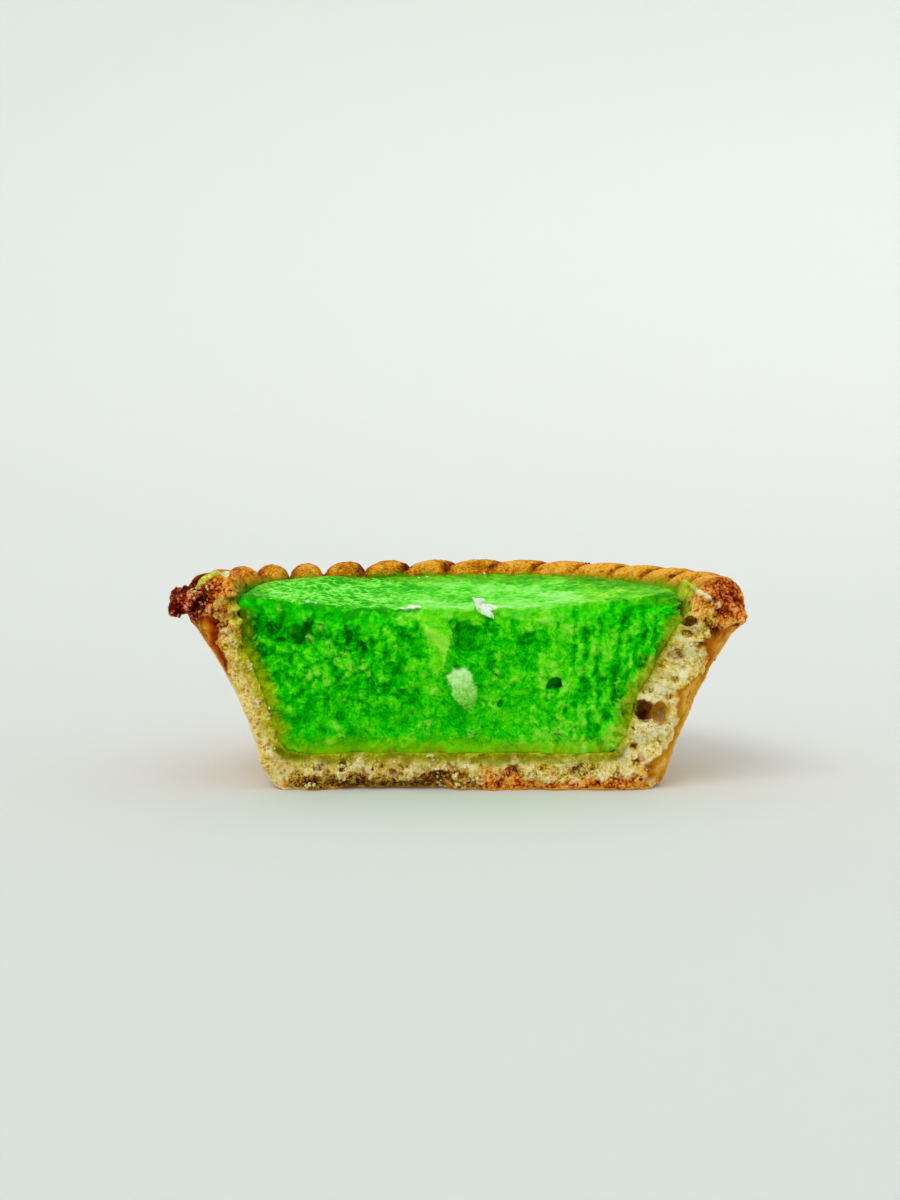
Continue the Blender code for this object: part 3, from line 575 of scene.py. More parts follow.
# Scorched crumb is dark red, with painted highlights as pale pink specks at the top of its ramp. The same colour paints
# the shade in the crust's hollows.
scorch_shade_and_glint_tone = ramp(tree, texture, ((0.4, "#340000"), (0.49, "#881400"), (0.57, "#bc480c"), (0.68, "#fcac78")))
colour = between(tree, own(tree, "scorch_and_painted_shade"), colour, scorch_shade_and_glint_tone)
# The sooty colour also paints the shade in the right wall's low hollows.
soot_and_shade_tone = ramp(tree, texture, ((0.38, "#2c0c00"), (0.49, "#683804"), (0.58, "#9c6c14"), (0.68, "#d8b44c")))
colour = between(tree, own(tree, "soot_and_painted_shade"), colour, soot_and_shade_tone)
stain_tone = ramp(tree, texture, ((0.28, "#646000"), (0.42, "#a09800"), (0.56, "#c4b81c"), (0.74, "#ece060")))
colour = between(tree, own(tree, "stained"), colour, stain_tone)
paste = maths(tree, "ADD", maths(tree, "MULTIPLY", own(tree, "moist_height"), 0.8), maths(tree, "MULTIPLY", sand, 0.2))
paste_tone = ramp(tree, paste, ((0.1, "#b8ac40"), (0.4, "#908a08"), (0.8, "#6c7000")))
colour = between(tree, own(tree, "moist"), colour, paste_tone)
foot_high = ramp(tree, skin_tone, ((0.3, "#4c4c00"), (0.5, "#8c7c00"), (0.75, "#bca018")))
foot_low = ramp(tree, skin_tone, ((0.3, "#246400"), (0.5, "#4c9c00"), (0.75, "#78b810")))
foot_tone = between(tree, own(tree, "foot_low"), foot_high, foot_low)
colour = between(tree, own(tree, "foot"), colour, foot_tone)
joint_tone = ramp(tree, texture, ((0.3, "#707400"), (0.5, "#a4a808"), (0.7, "#c8cc2c")))
colour = between(tree, own(tree, "joint"), colour, joint_tone)
lime_tone = ramp(tree, crumb_tone, ((0.1, "#8c9c00"), (0.25, "#bccc10"), (0.4, "#e0e040")))
colour = between(tree, own(tree, "lime"), colour, lime_tone)
# Painted shadow in the crevices.
colour = between(tree, own(tree, "crevice_painted_shadow"), colour, ramp(tree, crumb_tone, ((0.1, "#182400"), (0.4, "#546000"))))
tree.links.new(colour, shader.inputs["Base Color"])
tree.links.new(ramp(tree, own(tree, "scorch_and_painted_shade"), ((0.5, "#dcdcdc"), (1.0, "#a0a0a0"))), shader.inputs["Roughness"])
shader.inputs["Specular IOR Level"].default_value = 0.06
shader.inputs["Specular Tint"].default_value = linear("#ffc890")
pores = speckle(tree, place, 0.2, detail=3.0)
bump = add(tree, "ShaderNodeBump", links={"Height": pores, "Strength": 0.6, "Distance": 0.12 * MM})
tree.links.new(bump.outputs["Normal"], shader.inputs["Normal"])
crust.data.materials.append(material)
thin(crust)
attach(crust, "root")
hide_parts("pastry_shell")

# Cheese filling: a soft green curd of cream cheese and ground tea leaf, poured in and baked. It
# has set with a matt skin on top, sunk and shrunk from the crust, and it tore into lumps and
# smears where the tart was broken.
FILLING_VOXEL = 0.5
FILLING_BREAK_CUTS = 2
FILLING_TOP_CUTS = 1
FILLING_EASING = 2
JOIN_OVERLAP = 0.08


def on_filling_break(face):
    middle = face.calc_center_median() / MM - Vector(TART_AXIS)
    return middle.y < -1.8 or (face.normal.y < -0.4 and middle.y < 1.5)


def on_filling_top(face):
    return face.normal.z > 0.5 and face.calc_center_median().z > 20 * MM


shape = even_copy("matcha_filling", FILLING_VOXEL)
split(shape, on_filling_break, FILLING_BREAK_CUTS)
split(shape, lambda face: on_filling_top(face) and not on_filling_break(face), FILLING_TOP_CUTS)
filling = new_piece("matcha_filling_set", shape)
fit(filling.data, filling_tree, FILLING_EASING)
spots, places, normals = vertex_places(filling.data)

# The top stands a little higher at the left, where it still clings to the rim
x, y, z = places.T
lift = smooth(-12.0, -24.0, x) * (0.4 + 0.6 * smooth(0.0, 14.0, y)) * smooth(19.0, 24.0, z)
spots[:, 2] += lift * MM

# The sides reach the crust, so that no gap shows where the real filling sticks to it
gaps = np.empty(len(spots))
towards = np.empty_like(spots)
for index, spot in enumerate(spots.tolist()):
    nearest, _, _, gap = crust_tree.find_nearest(spot)
    gaps[index] = gap / MM
    towards[index] = (nearest - Vector(spot)).normalized()
reach = (gaps + JOIN_OVERLAP) * smooth(0.75, 0.4, gaps)
spots = spots + towards * (reach * MM)[:, None]
face_share = smooth(0.15, -0.55, normals[:, 1]) * smooth(1.5, 0.0, y) * smooth(0.75, 0.35, normals[:, 2])
top_share = smooth(0.35, 0.75, normals[:, 2]) * smooth(20.0, 21.5, z)
front_share = smooth(1.0, -1.5, y)

# Curds at several sizes on the left, broken streaks on the right, a calmer part between them
flat_places = places * (1.0, 0.6, 1.0)
bent_places = flat_places + 0.35 * np.column_stack([lumps(flat_places, 1.1, seed) for seed in (61.0, 67.0, 71.0)])
curd = grains(bent_places, 1.7, 2.0)
small_curd = grains(bent_places, 0.95, 12.0)
broad = lumps(flat_places, 4.0, 6.0)
medium = lumps(flat_places, 1.5, 9.0)
fine = lumps(flat_places, 0.6, 14.0)
finest = lumps(flat_places, 0.32, 19.0)
streak_places = bent_places * (1.0, 0.5, 0.3) + np.outer(z - 0.04 * z * z, (0.10, 0.0, 0.0))
streaks = lumps(streak_places, 0.85, 21.0)
left = smooth(-1.0, -13.0, x)
right = smooth(5.0, 12.0, x)
middle = 1.0 - left - right
shade = left * (0.40 * (curd - 0.38) + 0.20 * (small_curd - 0.35) + 0.26 * medium)
shade += right * (0.34 * streaks + 0.18 * (small_curd - 0.35) + 0.2 * medium)
shade += middle * (0.16 * (curd - 0.38) + 0.16 * (small_curd - 0.35) + 0.2 * medium)
shade += 0.18 * fine + 0.08 * finest
shade *= 1.0 - 0.45 * smooth(13.0, 9.5, z) * (1.0 - right)

# Hollows as (x, z, radius, depth) in mm: where a lump of curd came away
HOLLOWS = (
    (-24.6, 21.6, 2.0, 0.45), (-21.8, 20.9, 1.7, 0.7), (-18.8, 21.4, 1.2, 0.4), (-16.0, 20.6, 1.3, 0.4),
    (-16.6, 9.9, 0.9, 0.15), (12.05, 14.4, 1.0, 0.9), (4.7, 11.9, 0.5, 0.6), (-13.8, 19.4, 1.0, 0.3),
    (0.9, 21.0, 2.9, 0.35), (8.3, 20.4, 1.3, 0.3), (16.2, 21.2, 1.3, 0.35), (21.6, 22.6, 0.8, 0.3),
    (-1.0, 9.9, 1.8, 0.25), (13.2, 11.0, 0.9, 0.25), (22.3, 11.0, 1.3, 0.3), (24.4, 17.4, 1.2, 0.25),
)
dip = np.zeros(len(places))
for dip_x, dip_z, radius, depth in HOLLOWS:
    apart = np.hypot(x - dip_x + 0.2 * fine, z - dip_z + 0.2 * medium) / radius
    dip = np.maximum(dip, depth * smooth(1.15, 0.55, apart))

# Pale curds as (x, z, radius) in mm: harder bits of cheese that stand a little proud
PALE_CURDS = (
    (-24.8, 24.2, 0.45), (-20.7, 20.4, 0.5), (-21.3, 23.0, 0.4), (-19.2, 22.1, 0.55), (-18.1, 19.7, 0.6),
    (-17.0, 17.9, 0.45), (-15.9, 18.8, 0.55), (-15.4, 16.9, 0.7), (-13.6, 17.1, 0.75), (-12.8, 16.0, 0.4),
    (-18.4, 15.1, 0.5), (-20.9, 15.8, 0.6), (-15.9, 12.3, 0.2), (-17.2, 9.0, 0.5), (-16.3, 7.6, 0.45),
    (-18.1, 6.8, 0.5), (-4.9, 8.9, 0.6), (-7.1, 7.9, 0.45), (-6.0, 8.9, 0.35), (2.0, 9.2, 0.4),
    (0.9, 7.8, 0.7), (4.1, 16.1, 0.55), (4.0, 15.1, 0.4), (2.6, 12.1, 0.45), (12.6, 8.3, 1.0),
    (14.5, 8.8, 0.65), (15.5, 16.4, 0.6), (18.4, 15.8, 0.35), (20.7, 14.5, 0.5), (20.8, 11.8, 0.6),
    (5.5, 6.3, 0.4), (7.0, 6.1, 0.45), (14.7, 7.3, 0.45), (11.4, 13.0, 0.5), (19.5, 21.3, 0.5),
    (22.5, 22.0, 0.6), (-28.0, 20.4, 0.4), (-13.0, 24.6, 0.4), (15.0, 21.6, 0.35), (17.6, 19.0, 0.4),
)
pale = np.zeros(len(places))
for curd_x, curd_z, radius in PALE_CURDS:
    apart = np.hypot(x - curd_x + 0.25 * fine, (z - curd_z) * 0.85 + 0.25 * finest) / radius
    pale = np.maximum(pale, smooth(1.35, 0.4, apart))
pale *= face_share * smooth(-0.35, 0.2, 0.6 * fine + finest)

# The pale facet left of the scoop, with a ragged right edge, and the slanting pale lump
facet_edge = -1.9 - 0.27 * (20.4 - z) + 0.12 * finest
facet_left = -5.8 + 0.25 * (22.5 - z) + 0.4 * medium
facet = smooth(facet_left - 0.3, facet_left + 0.5, x) * smooth(facet_edge + 0.12, facet_edge - 0.05, x)
facet *= smooth(15.2, 16.8, z) * smooth(23.0, 22.2, z + 0.12 * (x + 5.7) + 0.3 * fine) * face_share
facet_shine = np.exp(-(((z - 22.4 + 1.1 * (x + 5.4)) / 1.3) ** 2)) * facet * smooth(17.5, 19.5, z)
facet_rim = np.exp(-(((x - facet_edge + 0.12) / 0.2) ** 2)) * smooth(-0.1, 0.2, finest + 0.1) * face_share
facet_rim *= smooth(16.2, 17.0, z) * smooth(22.6, 21.8, z)
LUMP_CORNERS = (
    (-2.35, 15.6), (-1.5, 16.3), (0.5, 16.8), (1.1, 15.1), (1.6, 14.2), (1.5, 12.5), (1.0, 11.2), (0.0, 11.0),
    (-1.05, 12.5), (-1.85, 13.9),
)
lump = np.full(len(places), 1.0)
for (ax, az), (bx, bz) in zip(LUMP_CORNERS, LUMP_CORNERS[1:] + LUMP_CORNERS[:1]):
    inside = ((x - ax) * (bz - az) - (z - az) * (bx - ax)) / math.hypot(bx - ax, bz - az)
    lump = np.minimum(lump, smooth(-0.3, 0.15, inside + 0.25 * finest + 0.15 * fine))
lump *= face_share
calm = np.maximum(facet, lump)
face_relief = 0.75 * shade * (1.0 - 0.7 * calm) - dip + 0.25 * pale + 0.2 * lump
wrinkles = 1.0 - np.abs(lumps(places * (1.0, 0.6, 1.0), 1.0, 51.0)) * 2.4
fine_wrinkles = 1.0 - np.abs(lumps(places * (1.0, 0.6, 1.0), 0.6, 53.0)) * 2.4
top_relief = 0.08 * np.clip(wrinkles, 0.0, 1.0) + 0.10 * lumps(places, 3.0, 57.0) + 0.05 * fine
relief = face_share * face_relief + top_share * (1 - face_share) * top_relief
relief *= smooth(0.1, 0.6, gaps)
spots = spots + normals * (relief * MM)[:, None]
sway = np.column_stack([lumps(places, 0.9, seed) for seed in (81.0, 85.0, 89.0)])
spots += sway * (0.3 * MM * front_share * smooth(0.3, 0.9, gaps))[:, None]

# The right end has torn off the crust in small spikes
torn_end = smooth(25.6, 26.6, x) * smooth(20.5, 22.5, z) * front_share * smooth(0.6, 1.0, gaps)
SPIKES = ((26.1, 0.25), (25.1, 0.3), (24.0, 0.2))
spikes = sum(np.exp(-(((z - height) / width) ** 2)) for height, width in SPIKES)
spots[:, 0] += torn_end * (0.9 * spikes - 0.8 + 0.4 * fine) * MM
spots[:, 0] -= joint_shift(places) * smooth(6.0, 0.5, gaps) * MM
move(filling.data, spots)

# The curd's tone, with painted shade: it follows the relief, dark in the hollows and along the gap at the crust and
# light on the lumps. It is also lighter low on the right.
curd_tone_with_painted_shade = 0.475 + 1.15 * shade * (1.0 - 0.5 * calm) + 0.14 * broad - 0.42 * dip
curd_tone_with_painted_shade += 0.10 * smooth(12.0, 8.0, z) * smooth(5.0, 10.0, x)
curd_tone_with_painted_shade -= 0.16 * smooth(3.2, 0.6, gaps) * smooth(16.0, 20.0, z) * smooth(26.0, 24.0, z) * face_share
webbed = smooth(-6.0, -14.0, x)
edge_height = z + 1.3 * medium + 0.5 * fine + 0.6 * broad
top_edge = smooth(22.4, 24.2, edge_height + 1.2 * webbed * (1.0 - smooth(-24.0, -27.0, x))) * face_share
band = smooth(22.4, 23.8, edge_height) * face_share * smooth(-10.5, -7.0, x) * smooth(13.5, 9.5, x)
front_edge = smooth(3.2, 0.4, np.abs(y + 4.0) + 1.5 * medium) * smooth(-10.5, -5.0, x) * smooth(14.0, 9.0, x)
rim_distance = 31.2 - np.hypot(x - 0.2, y)
# The top's paleness: a pale, dry, wrinkled skin and painted sheen. It is paler in the middle, and darker towards the
# front edge on the left and right.
web = 0.45 * np.clip(wrinkles, 0.0, 1.0) + 0.3 * np.clip(fine_wrinkles, 0.0, 1.0) - 0.3
paleness_and_painted_sheen = 0.52 + web * (0.45 + 0.75 * webbed) - 0.2 * webbed + 0.22 * fine
paleness_and_painted_sheen += 0.14 * smooth(12.0, 5.0, np.abs(x - 1.0)) * smooth(14.0, 6.0, y) - 0.16 * smooth(12.0, 20.0, x)
paleness_and_painted_sheen += 0.3 * lumps(places * (1.0, 0.7, 1.0), 2.2, 73.0) + 0.3 * lumps(places, 7.0, 77.0)
paleness_and_painted_sheen -= 0.45 * np.maximum(webbed, 0.45 * smooth(11.0, 15.0, x)) * smooth(2.8, 0.4, y + 4.0 + 1.2 * medium)
mark(filling.data, "curd_tone_with_painted_shade", curd_tone_with_painted_shade)
mark(filling.data, "top", top_share * (1 - face_share))
mark(filling.data, "paleness_and_painted_sheen", paleness_and_painted_sheen)
mark(filling.data, "top_right", 0.8 * smooth(13.0, 20.0, x + 2.0 * medium))
# The pale mark also holds the painted highlight across the facet (facet_shine).
mark(filling.data, "pale", np.maximum.reduce((0.55 * pale, 0.7 * facet_shine, facet_rim)))
mark(filling.data, "facet", 0.9 * facet)
mark(filling.data, "lump", lump)
mark(filling.data, "right_side", smooth(-5.0, 10.0, x))
# Painted light on the pale lump: lighter at its top and darker at its foot.
mark(filling.data, "lump_painted_light", (z - 11.0) / 6.0)
mark(filling.data, "band", np.maximum(0.75 * band, front_edge * top_share))
mark(filling.data, "top_edge", top_edge)
joint_width = 2.6 + 0.9 * medium + 0.5 * fine - 0.8 * smooth(17.5, 20.0, z) * right
joint_top = 25.8 - 1.6 * smooth(-20.0, -25.0, x)
joint = smooth(1.0, 0.15, gaps / joint_width) * smooth(joint_top + 0.5, joint_top - 0.5, z) * smooth(5.0, 8.0, z)
mark(filling.data, "joint", joint)
line_height = z + 0.45 * medium + 0.3 * fine
mark(filling.data, "base_line", smooth(7.0, 5.0, line_height) * face_share)
# Painted shade: the top is deeper green towards the rim, where it curves at its edge.
mark(filling.data, "rim_side_painted_shade", smooth(9.0, 2.5, rim_distance + 2.2 * medium + 3.0 * webbed))

# Set cheese curd: moist, with painted shade deep green in its hollows, and yellow-green on its lumps
material, tree, shader, place = new_material("set_matcha_curd")
grit = speckle(tree, place, 0.3, detail=3.0)
curd_tone_with_painted_shade = maths(tree, "ADD", maths(tree, "MULTIPLY", own(tree, "curd_tone_with_painted_shade"), 0.82), maths(tree, "MULTIPLY", grit, 0.26))
torn = ramp(
    tree, curd_tone_with_painted_shade,
    ((0.15, "#005c00"), (0.32, "#00a400"), (0.46, "#0ccc02"), (0.6, "#4ce408"), (0.75, "#84ee34"), (0.95, "#b0f474")),
)
# The top's colour carries the painted sheen with its pale skin.
top_tone = maths(tree, "ADD", maths(tree, "MULTIPLY", own(tree, "paleness_and_painted_sheen"), 0.85), maths(tree, "MULTIPLY", grit, 0.15))
skin_pale = ramp(tree, top_tone, ((0.1, "#10a000"), (0.36, "#38cc00"), (0.6, "#78f040"), (0.85, "#a8f884")))
# Deeper green as painted shade near the rim.
skin_deep = ramp(tree, top_tone, ((0.2, "#2c8800"), (0.5, "#58b800"), (0.85, "#80dc0c")))
skin_warm = ramp(tree, top_tone, ((0.1, "#28a000"), (0.36, "#5cd000"), (0.6, "#98ec28"), (0.85, "#b8f870")))
skin_pale = between(tree, own(tree, "top_right"), skin_pale, skin_warm)
skin = between(tree, own(tree, "rim_side_painted_shade"), skin_pale, skin_deep)
colour = between(tree, own(tree, "top"), torn, skin)
edge_tone = ramp(tree, curd_tone_with_painted_shade, ((0.25, "#04b400"), (0.5, "#14e000"), (0.8, "#58f01c")))
colour = between(tree, maths(tree, "MULTIPLY", own(tree, "top_edge"), 0.85), colour, edge_tone)
band_tone = ramp(tree, curd_tone_with_painted_shade, ((0.25, "#38cc00"), (0.5, "#68e408"), (0.8, "#a8fa50")))
colour = between(tree, own(tree, "band"), colour, band_tone)
facet_tone = ramp(tree, curd_tone_with_painted_shade, ((0.3, "#30c800"), (0.5, "#6cf00c"), (0.72, "#a8fc5c")))
colour = between(tree, own(tree, "facet"), colour, facet_tone)
colour = between(tree, own(tree, "pale"), colour, linear("#a8f44c"))
# The lump's colour carries painted light, lighter towards its top.
lump_grit = maths(tree, "ADD", maths(tree, "MULTIPLY", own(tree, "lump_painted_light"), 0.6), maths(tree, "MULTIPLY", grit, 0.4))
lump_tone = ramp(tree, lump_grit, ((0.15, "#40c408"), (0.42, "#90e458"), (0.65, "#c0fa98"), (0.9, "#e4ffcc")))
colour = between(tree, own(tree, "lump"), colour, lump_tone)
line_place = maths(tree, "ADD", maths(tree, "MULTIPLY", own(tree, "base_line"), 0.8), maths(tree, "MULTIPLY", grit, 0.2))
line_tone = ramp(tree, line_place, ((0.3, "#5cd404"), (0.6, "#8cd40c"), (0.9, "#7c9c04")))
colour = between(tree, maths(tree, "MULTIPLY", own(tree, "base_line"), 1.2), colour, line_tone)
left_joint = ramp(tree, curd_tone_with_painted_shade, ((0.15, "#4c6c00"), (0.38, "#7c9800"), (0.55, "#a0b004"), (0.8, "#c4d024")))
right_joint = ramp(tree, curd_tone_with_painted_shade, ((0.2, "#4c7400"), (0.45, "#90a80c"), (0.8, "#c4cc38")))
joint_tone = between(tree, own(tree, "right_side"), left_joint, right_joint)
colour = between(tree, own(tree, "joint"), colour, joint_tone)
tree.links.new(colour, shader.inputs["Base Color"])
tree.links.new(ramp(tree, own(tree, "top"), ((0.0, "#bcbcbc"), (1.0, "#e0e0e0"))), shader.inputs["Roughness"])
shader.inputs["Specular IOR Level"].default_value = 0.12
shader.inputs["Specular Tint"].default_value = linear("#80ff50")
pores = speckle(tree, place, 0.22, detail=3.0)
bump = add(tree, "ShaderNodeBump", links={"Height": pores, "Strength": 0.5, "Distance": 0.12 * MM})
tree.links.new(bump.outputs["Normal"], shader.inputs["Normal"])
filling.data.materials.append(material)
thin(filling)
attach(filling, "root")
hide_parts("matcha_filling")

# Forked flake: a thin white slip of dried cheese, stuck in the front edge of the top
FLAKE_TIP = (0.95, 26.15)
FLAKE_OUTLINE = (
    (0.0, 0.0), (1.0, -0.1), (1.7, -0.35), (1.9, -0.8), (2.6, -1.0), (3.4, -1.35), (3.0, -1.65), (2.5, -1.75),
    (2.9, -2.3), (3.0, -2.9), (2.2, -2.55), (1.4, -2.3), (0.7, -1.9), (0.45, -1.0),
)
FLAKE_FRONT = -4.3
FLAKE_LEAN = 0.2
FLAKE_THICKNESS = 0.5


def rough(shape, amount, size, seed):
    """Moves each vertex by noise: amount and size in mm."""
    for vert in shape.verts:
        place = vert.co / MM / size + Vector((seed, seed, seed))
        vert.co += Vector([noise.noise(place + Vector((step, 0, 0))) for step in (0.0, 31.0, 67.0)]) * (amount * MM)


shape = bmesh.new()
tip_x, tip_z = FLAKE_TIP
for across, up in FLAKE_OUTLINE:
    spot = np.array((tip_x + across, FLAKE_FRONT + FLAKE_LEAN * up, tip_z + up)) + TART_AXIS
    shape.verts.new(spot * MM)
slab = shape.faces.new(shape.verts)
back = bmesh.ops.extrude_face_region(shape, geom=[slab], use_keep_orig=True)
bmesh.ops.translate(
    shape, vec=(0.0, FLAKE_THICKNESS * MM, 0.0), verts=[v for v in back["geom"] if isinstance(v, bmesh.types.BMVert)],
)
bmesh.ops.recalc_face_normals(shape, faces=shape.faces)
bmesh.ops.bevel(
    shape, geom=shape.edges[:], offset=0.12 * MM, offset_type="OFFSET", segments=2, profile=0.5, affect="EDGES",
    material=-1, clamp_overlap=True,
)
bmesh.ops.triangulate(shape, faces=shape.faces)
bmesh.ops.subdivide_edges(shape, edges=shape.edges[:], cuts=2, use_grid_fill=True)
rough(shape, 0.18, 0.7, 4.0)
flake = new_piece("forked_flake", shape)

# Flat flake: the same stuff, lying on the top
FLAT_FLAKE_CENTRE = (-7.2, -2.4, 24.6)
FLAT_FLAKE_SIZE = (1.55, 1.1, 0.2)
shape = bmesh.new()
bmesh.ops.create_icosphere(shape, subdivisions=4, radius=1.0)
bmesh.ops.scale(shape, vec=Vector(FLAT_FLAKE_SIZE) * MM, verts=shape.verts)
bmesh.ops.translate(shape, vec=(np.array(FLAT_FLAKE_CENTRE) + TART_AXIS) * MM, verts=shape.verts)
rough(shape, 0.3, 0.9, 9.0)
flat_flake = new_piece("flat_flake", shape)

def surface(piece):
    mesh = piece.data
    return BVHTree.FromPolygons([v.co for v in mesh.vertices], [tuple(f.vertices) for f in mesh.polygons])


def seen(x, z, surfaces):
    """Where the tart is seen behind a spot of the plane of the break, given in mm from its axis."""
    start = (Vector(TART_AXIS) + CAMERA_FROM_AXIS) * MM
    aim = (Vector(TART_AXIS) + Vector((x, -4.0, z))) * MM - start
    hits = [tree.ray_cast(start, aim.normalized())[0] for tree in surfaces]
    return min((hit for hit in hits if hit), key=lambda hit: hit.y, default=None)


def add_crumb(shape, spot, size, draw):
    """An angular grain of the size in mm, sunk a little into what it lies on."""
    fineness = 1 if size < 0.8 else 3
    made = bmesh.ops.create_icosphere(shape, subdivisions=fineness, radius=size * MM / 2)
    turn = Euler([draw.uniform(0.0, math.tau) for _ in range(3)]).to_matrix()
    stretch = Vector([draw.uniform(0.7, 1.3) for _ in range(3)])
    for vert in made["verts"]:
        place = vert.co / MM
        painted_skin_light_and_shade = 1.0 + draw.uniform(-0.2, 0.2) / fineness + 0.5 * noise.noise(place / 0.45 + spot / MM)
        vert.co = turn @ (vert.co * stretch * painted_skin_light_and_shade) + spot


surfaces = [surface(crust), surface(filling)]

# Curd bits: specks of the same stuff on the top and at the rim's foot, as (x, z, size) in mm
CURD_BITS = (
    (-5.05, 28.8, 0.5), (-6.1, 28.7, 0.35), (-20.9, 25.4, 0.7), (2.6, 29.3, 0.45), (-19.8, 25.3, 0.45),
)
draw = random.Random(8)
shape = bmesh.new()
for x, z, size in CURD_BITS:
    spot = seen(x, z, surfaces)
    if spot:
        add_crumb(shape, spot, size, draw)
curd_bits = new_piece("curd_bits", shape)

# Dried cheese: white, a little see-through green where it is thin
material, tree, shader, place = new_material("dried_cheese")
grit = speckle(tree, place, 0.9, detail=3.0)
flake_colour = ramp(tree, grit, ((0.1, "#a4e484"), (0.35, "#d8f4c8"), (0.7, "#fafdf4")))
tree.links.new(flake_colour, shader.inputs["Base Color"])
shader.inputs["Roughness"].default_value = 0.5
for piece in (flake, flat_flake, curd_bits):
    piece.data.materials.append(material)
    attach(piece, "root")

# Crumbs: bits of shortcrust that broke off, pale from inside the crust and brown from its skin.
# They cling to the broken face, the base and the rim, and each lies where it is seen from the front.


def crumb_piece(name, clusters, seed):
    """Grains strewn about the clusters, as (x, z, spread along x, along z, grain size, how many) in mm."""
    draw = random.Random(seed)
    shape = bmesh.new()
    for x, z, spread_x, spread_z, size, count in clusters:
        for _ in range(count):
            spot = seen(x + draw.gauss(0.0, spread_x), z + draw.gauss(0.0, spread_z), surfaces)
            if spot:
                grain = size * draw.uniform(0.6, 1.35)
                spot.z = max(spot.z, grain * 0.75 * MM)
                add_crumb(shape, spot, grain, draw)
    piece = new_piece(name, shape)
    piece.data.shade_flat()
    return piece


PALE_CLUSTERS = (
    (-20.9, 0.7, 0.4, 0.25, 0.5, 7), (-3.2, 0.6, 0.3, 0.2, 0.45, 4), (-0.6, 0.7, 0.5, 0.2, 0.55, 6),
    (-1.2, 2.1, 0.3, 0.25, 0.55, 5), (-3.5, 1.4, 0.3, 0.3, 0.45, 4), (-4.4, 4.5, 0.4, 0.25, 0.55, 6),
    (-4.4, 3.4, 0.4, 0.3, 0.55, 7), (2.0, 1.4, 0.45, 0.3, 0.55, 6), (25.2, 0.8, 0.35, 0.3, 0.5, 5),
    (-27.7, 11.8, 0.3, 0.4, 0.55, 9), (-26.2, 10.2, 0.2, 0.35, 0.45, 6), (-28.6, 17.0, 0.5, 0.4, 0.45, 5),
    (-30.7, 19.8, 0.4, 0.4, 0.5, 7), (-32.1, 21.5, 0.35, 0.4, 0.5, 6), (30.8, 22.3, 0.5, 0.5, 0.4, 6),
    (30.2, 20.6, 0.6, 0.6, 0.4, 7), (23.0, 7.6, 0.5, 0.6, 0.5, 14), (-35.8, 27.2, 0.35, 0.35, 0.55, 6),
    (-36.2, 26.4, 0.25, 0.25, 0.5, 3), (-25.7, 5.6, 0.7, 0.9, 0.5, 8), (-19.5, 3.2, 0.9, 0.5, 0.5, 9),
    (-16.2, 3.0, 0.8, 0.5, 0.5, 9), (0.3, 3.4, 1.4, 0.2, 0.4, 8), (9.5, 1.9, 0.8, 0.4, 0.45, 8),
    (16.5, 2.6, 0.9, 0.4, 0.4, 7), (20.5, 2.2, 1.0, 0.4, 0.4, 7), (25.0, 9.0, 1.0, 0.6, 0.5, 12),
    (25.4, 13.0, 0.35, 0.35, 0.4, 6), (29.0, 17.0, 1.2, 1.6, 0.35, 12),
    (-34.0, 27.3, 0.1, 0.1, 0.5, 2), (-2.0, 2.4, 12.0, 0.9, 0.3, 36),
)
GOLDEN_CLUSTERS = (
    (-32.5, 25.3, 0.4, 0.4, 1.0, 5), (-31.6, 23.4, 0.5, 0.5, 0.8, 7), (-31.2, 22.0, 0.5, 0.5, 0.7, 7),
    (-34.6, 24.4, 0.8, 0.8, 0.5, 8), (-27.9, 9.0, 0.4, 0.9, 0.5, 8), (-29.4, 14.2, 0.4, 0.8, 0.5, 6),
    (-26.6, 6.6, 0.4, 0.8, 0.45, 6), (-24.6, 3.0, 1.0, 0.8, 0.5, 10), (34.6, 22.8, 0.9, 0.9, 0.35, 5),
    (33.4, 19.0, 0.4, 0.9, 0.4, 5), (-30.2, 27.0, 0.6, 0.6, 0.4, 6),
    (8.0, 1.6, 8.0, 0.7, 0.4, 30),
)
BROWN_CLUSTERS = (
    (-9.0, 31.35, 0.25, 0.1, 0.5, 3), (-7.4, 30.9, 0.2, 0.1, 0.5, 3), (16.2, 30.6, 0.2, 0.1, 0.35, 3),
    (27.5, 28.9, 0.5, 0.2, 0.35, 6), (33.5, 27.9, 0.5, 0.2, 0.35, 5), (-33.6, 27.0, 0.6, 0.5, 0.5, 7),
    (-33.2, 24.0, 0.6, 0.5, 0.5, 6),
)
CRUMBS = (
    ("pale_crumbs", PALE_CLUSTERS, ("#b8943c", "#e8d48c", "#fdf2c8")),
    ("golden_crumbs", GOLDEN_CLUSTERS, ("#b07814", "#d4a034", "#f0d080")),
    ("brown_crumbs", BROWN_CLUSTERS, ("#300800", "#6c2404", "#a85414")),
)
for seed, (name, clusters, tones) in enumerate(CRUMBS):
    crumbs = crumb_piece(name, clusters, seed + 3)
    material, tree, shader, place = new_material("broken_" + name)
    grit = speckle(tree, place, 0.4, detail=3.0)
    tree.links.new(ramp(tree, grit, tuple(zip((0.15, 0.5, 0.85), tones))), shader.inputs["Base Color"])
    shader.inputs["Roughness"].default_value = 0.8
    shader.inputs["Specular IOR Level"].default_value = 0.15
    crumbs.data.materials.append(material)
    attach(crumbs, "root")

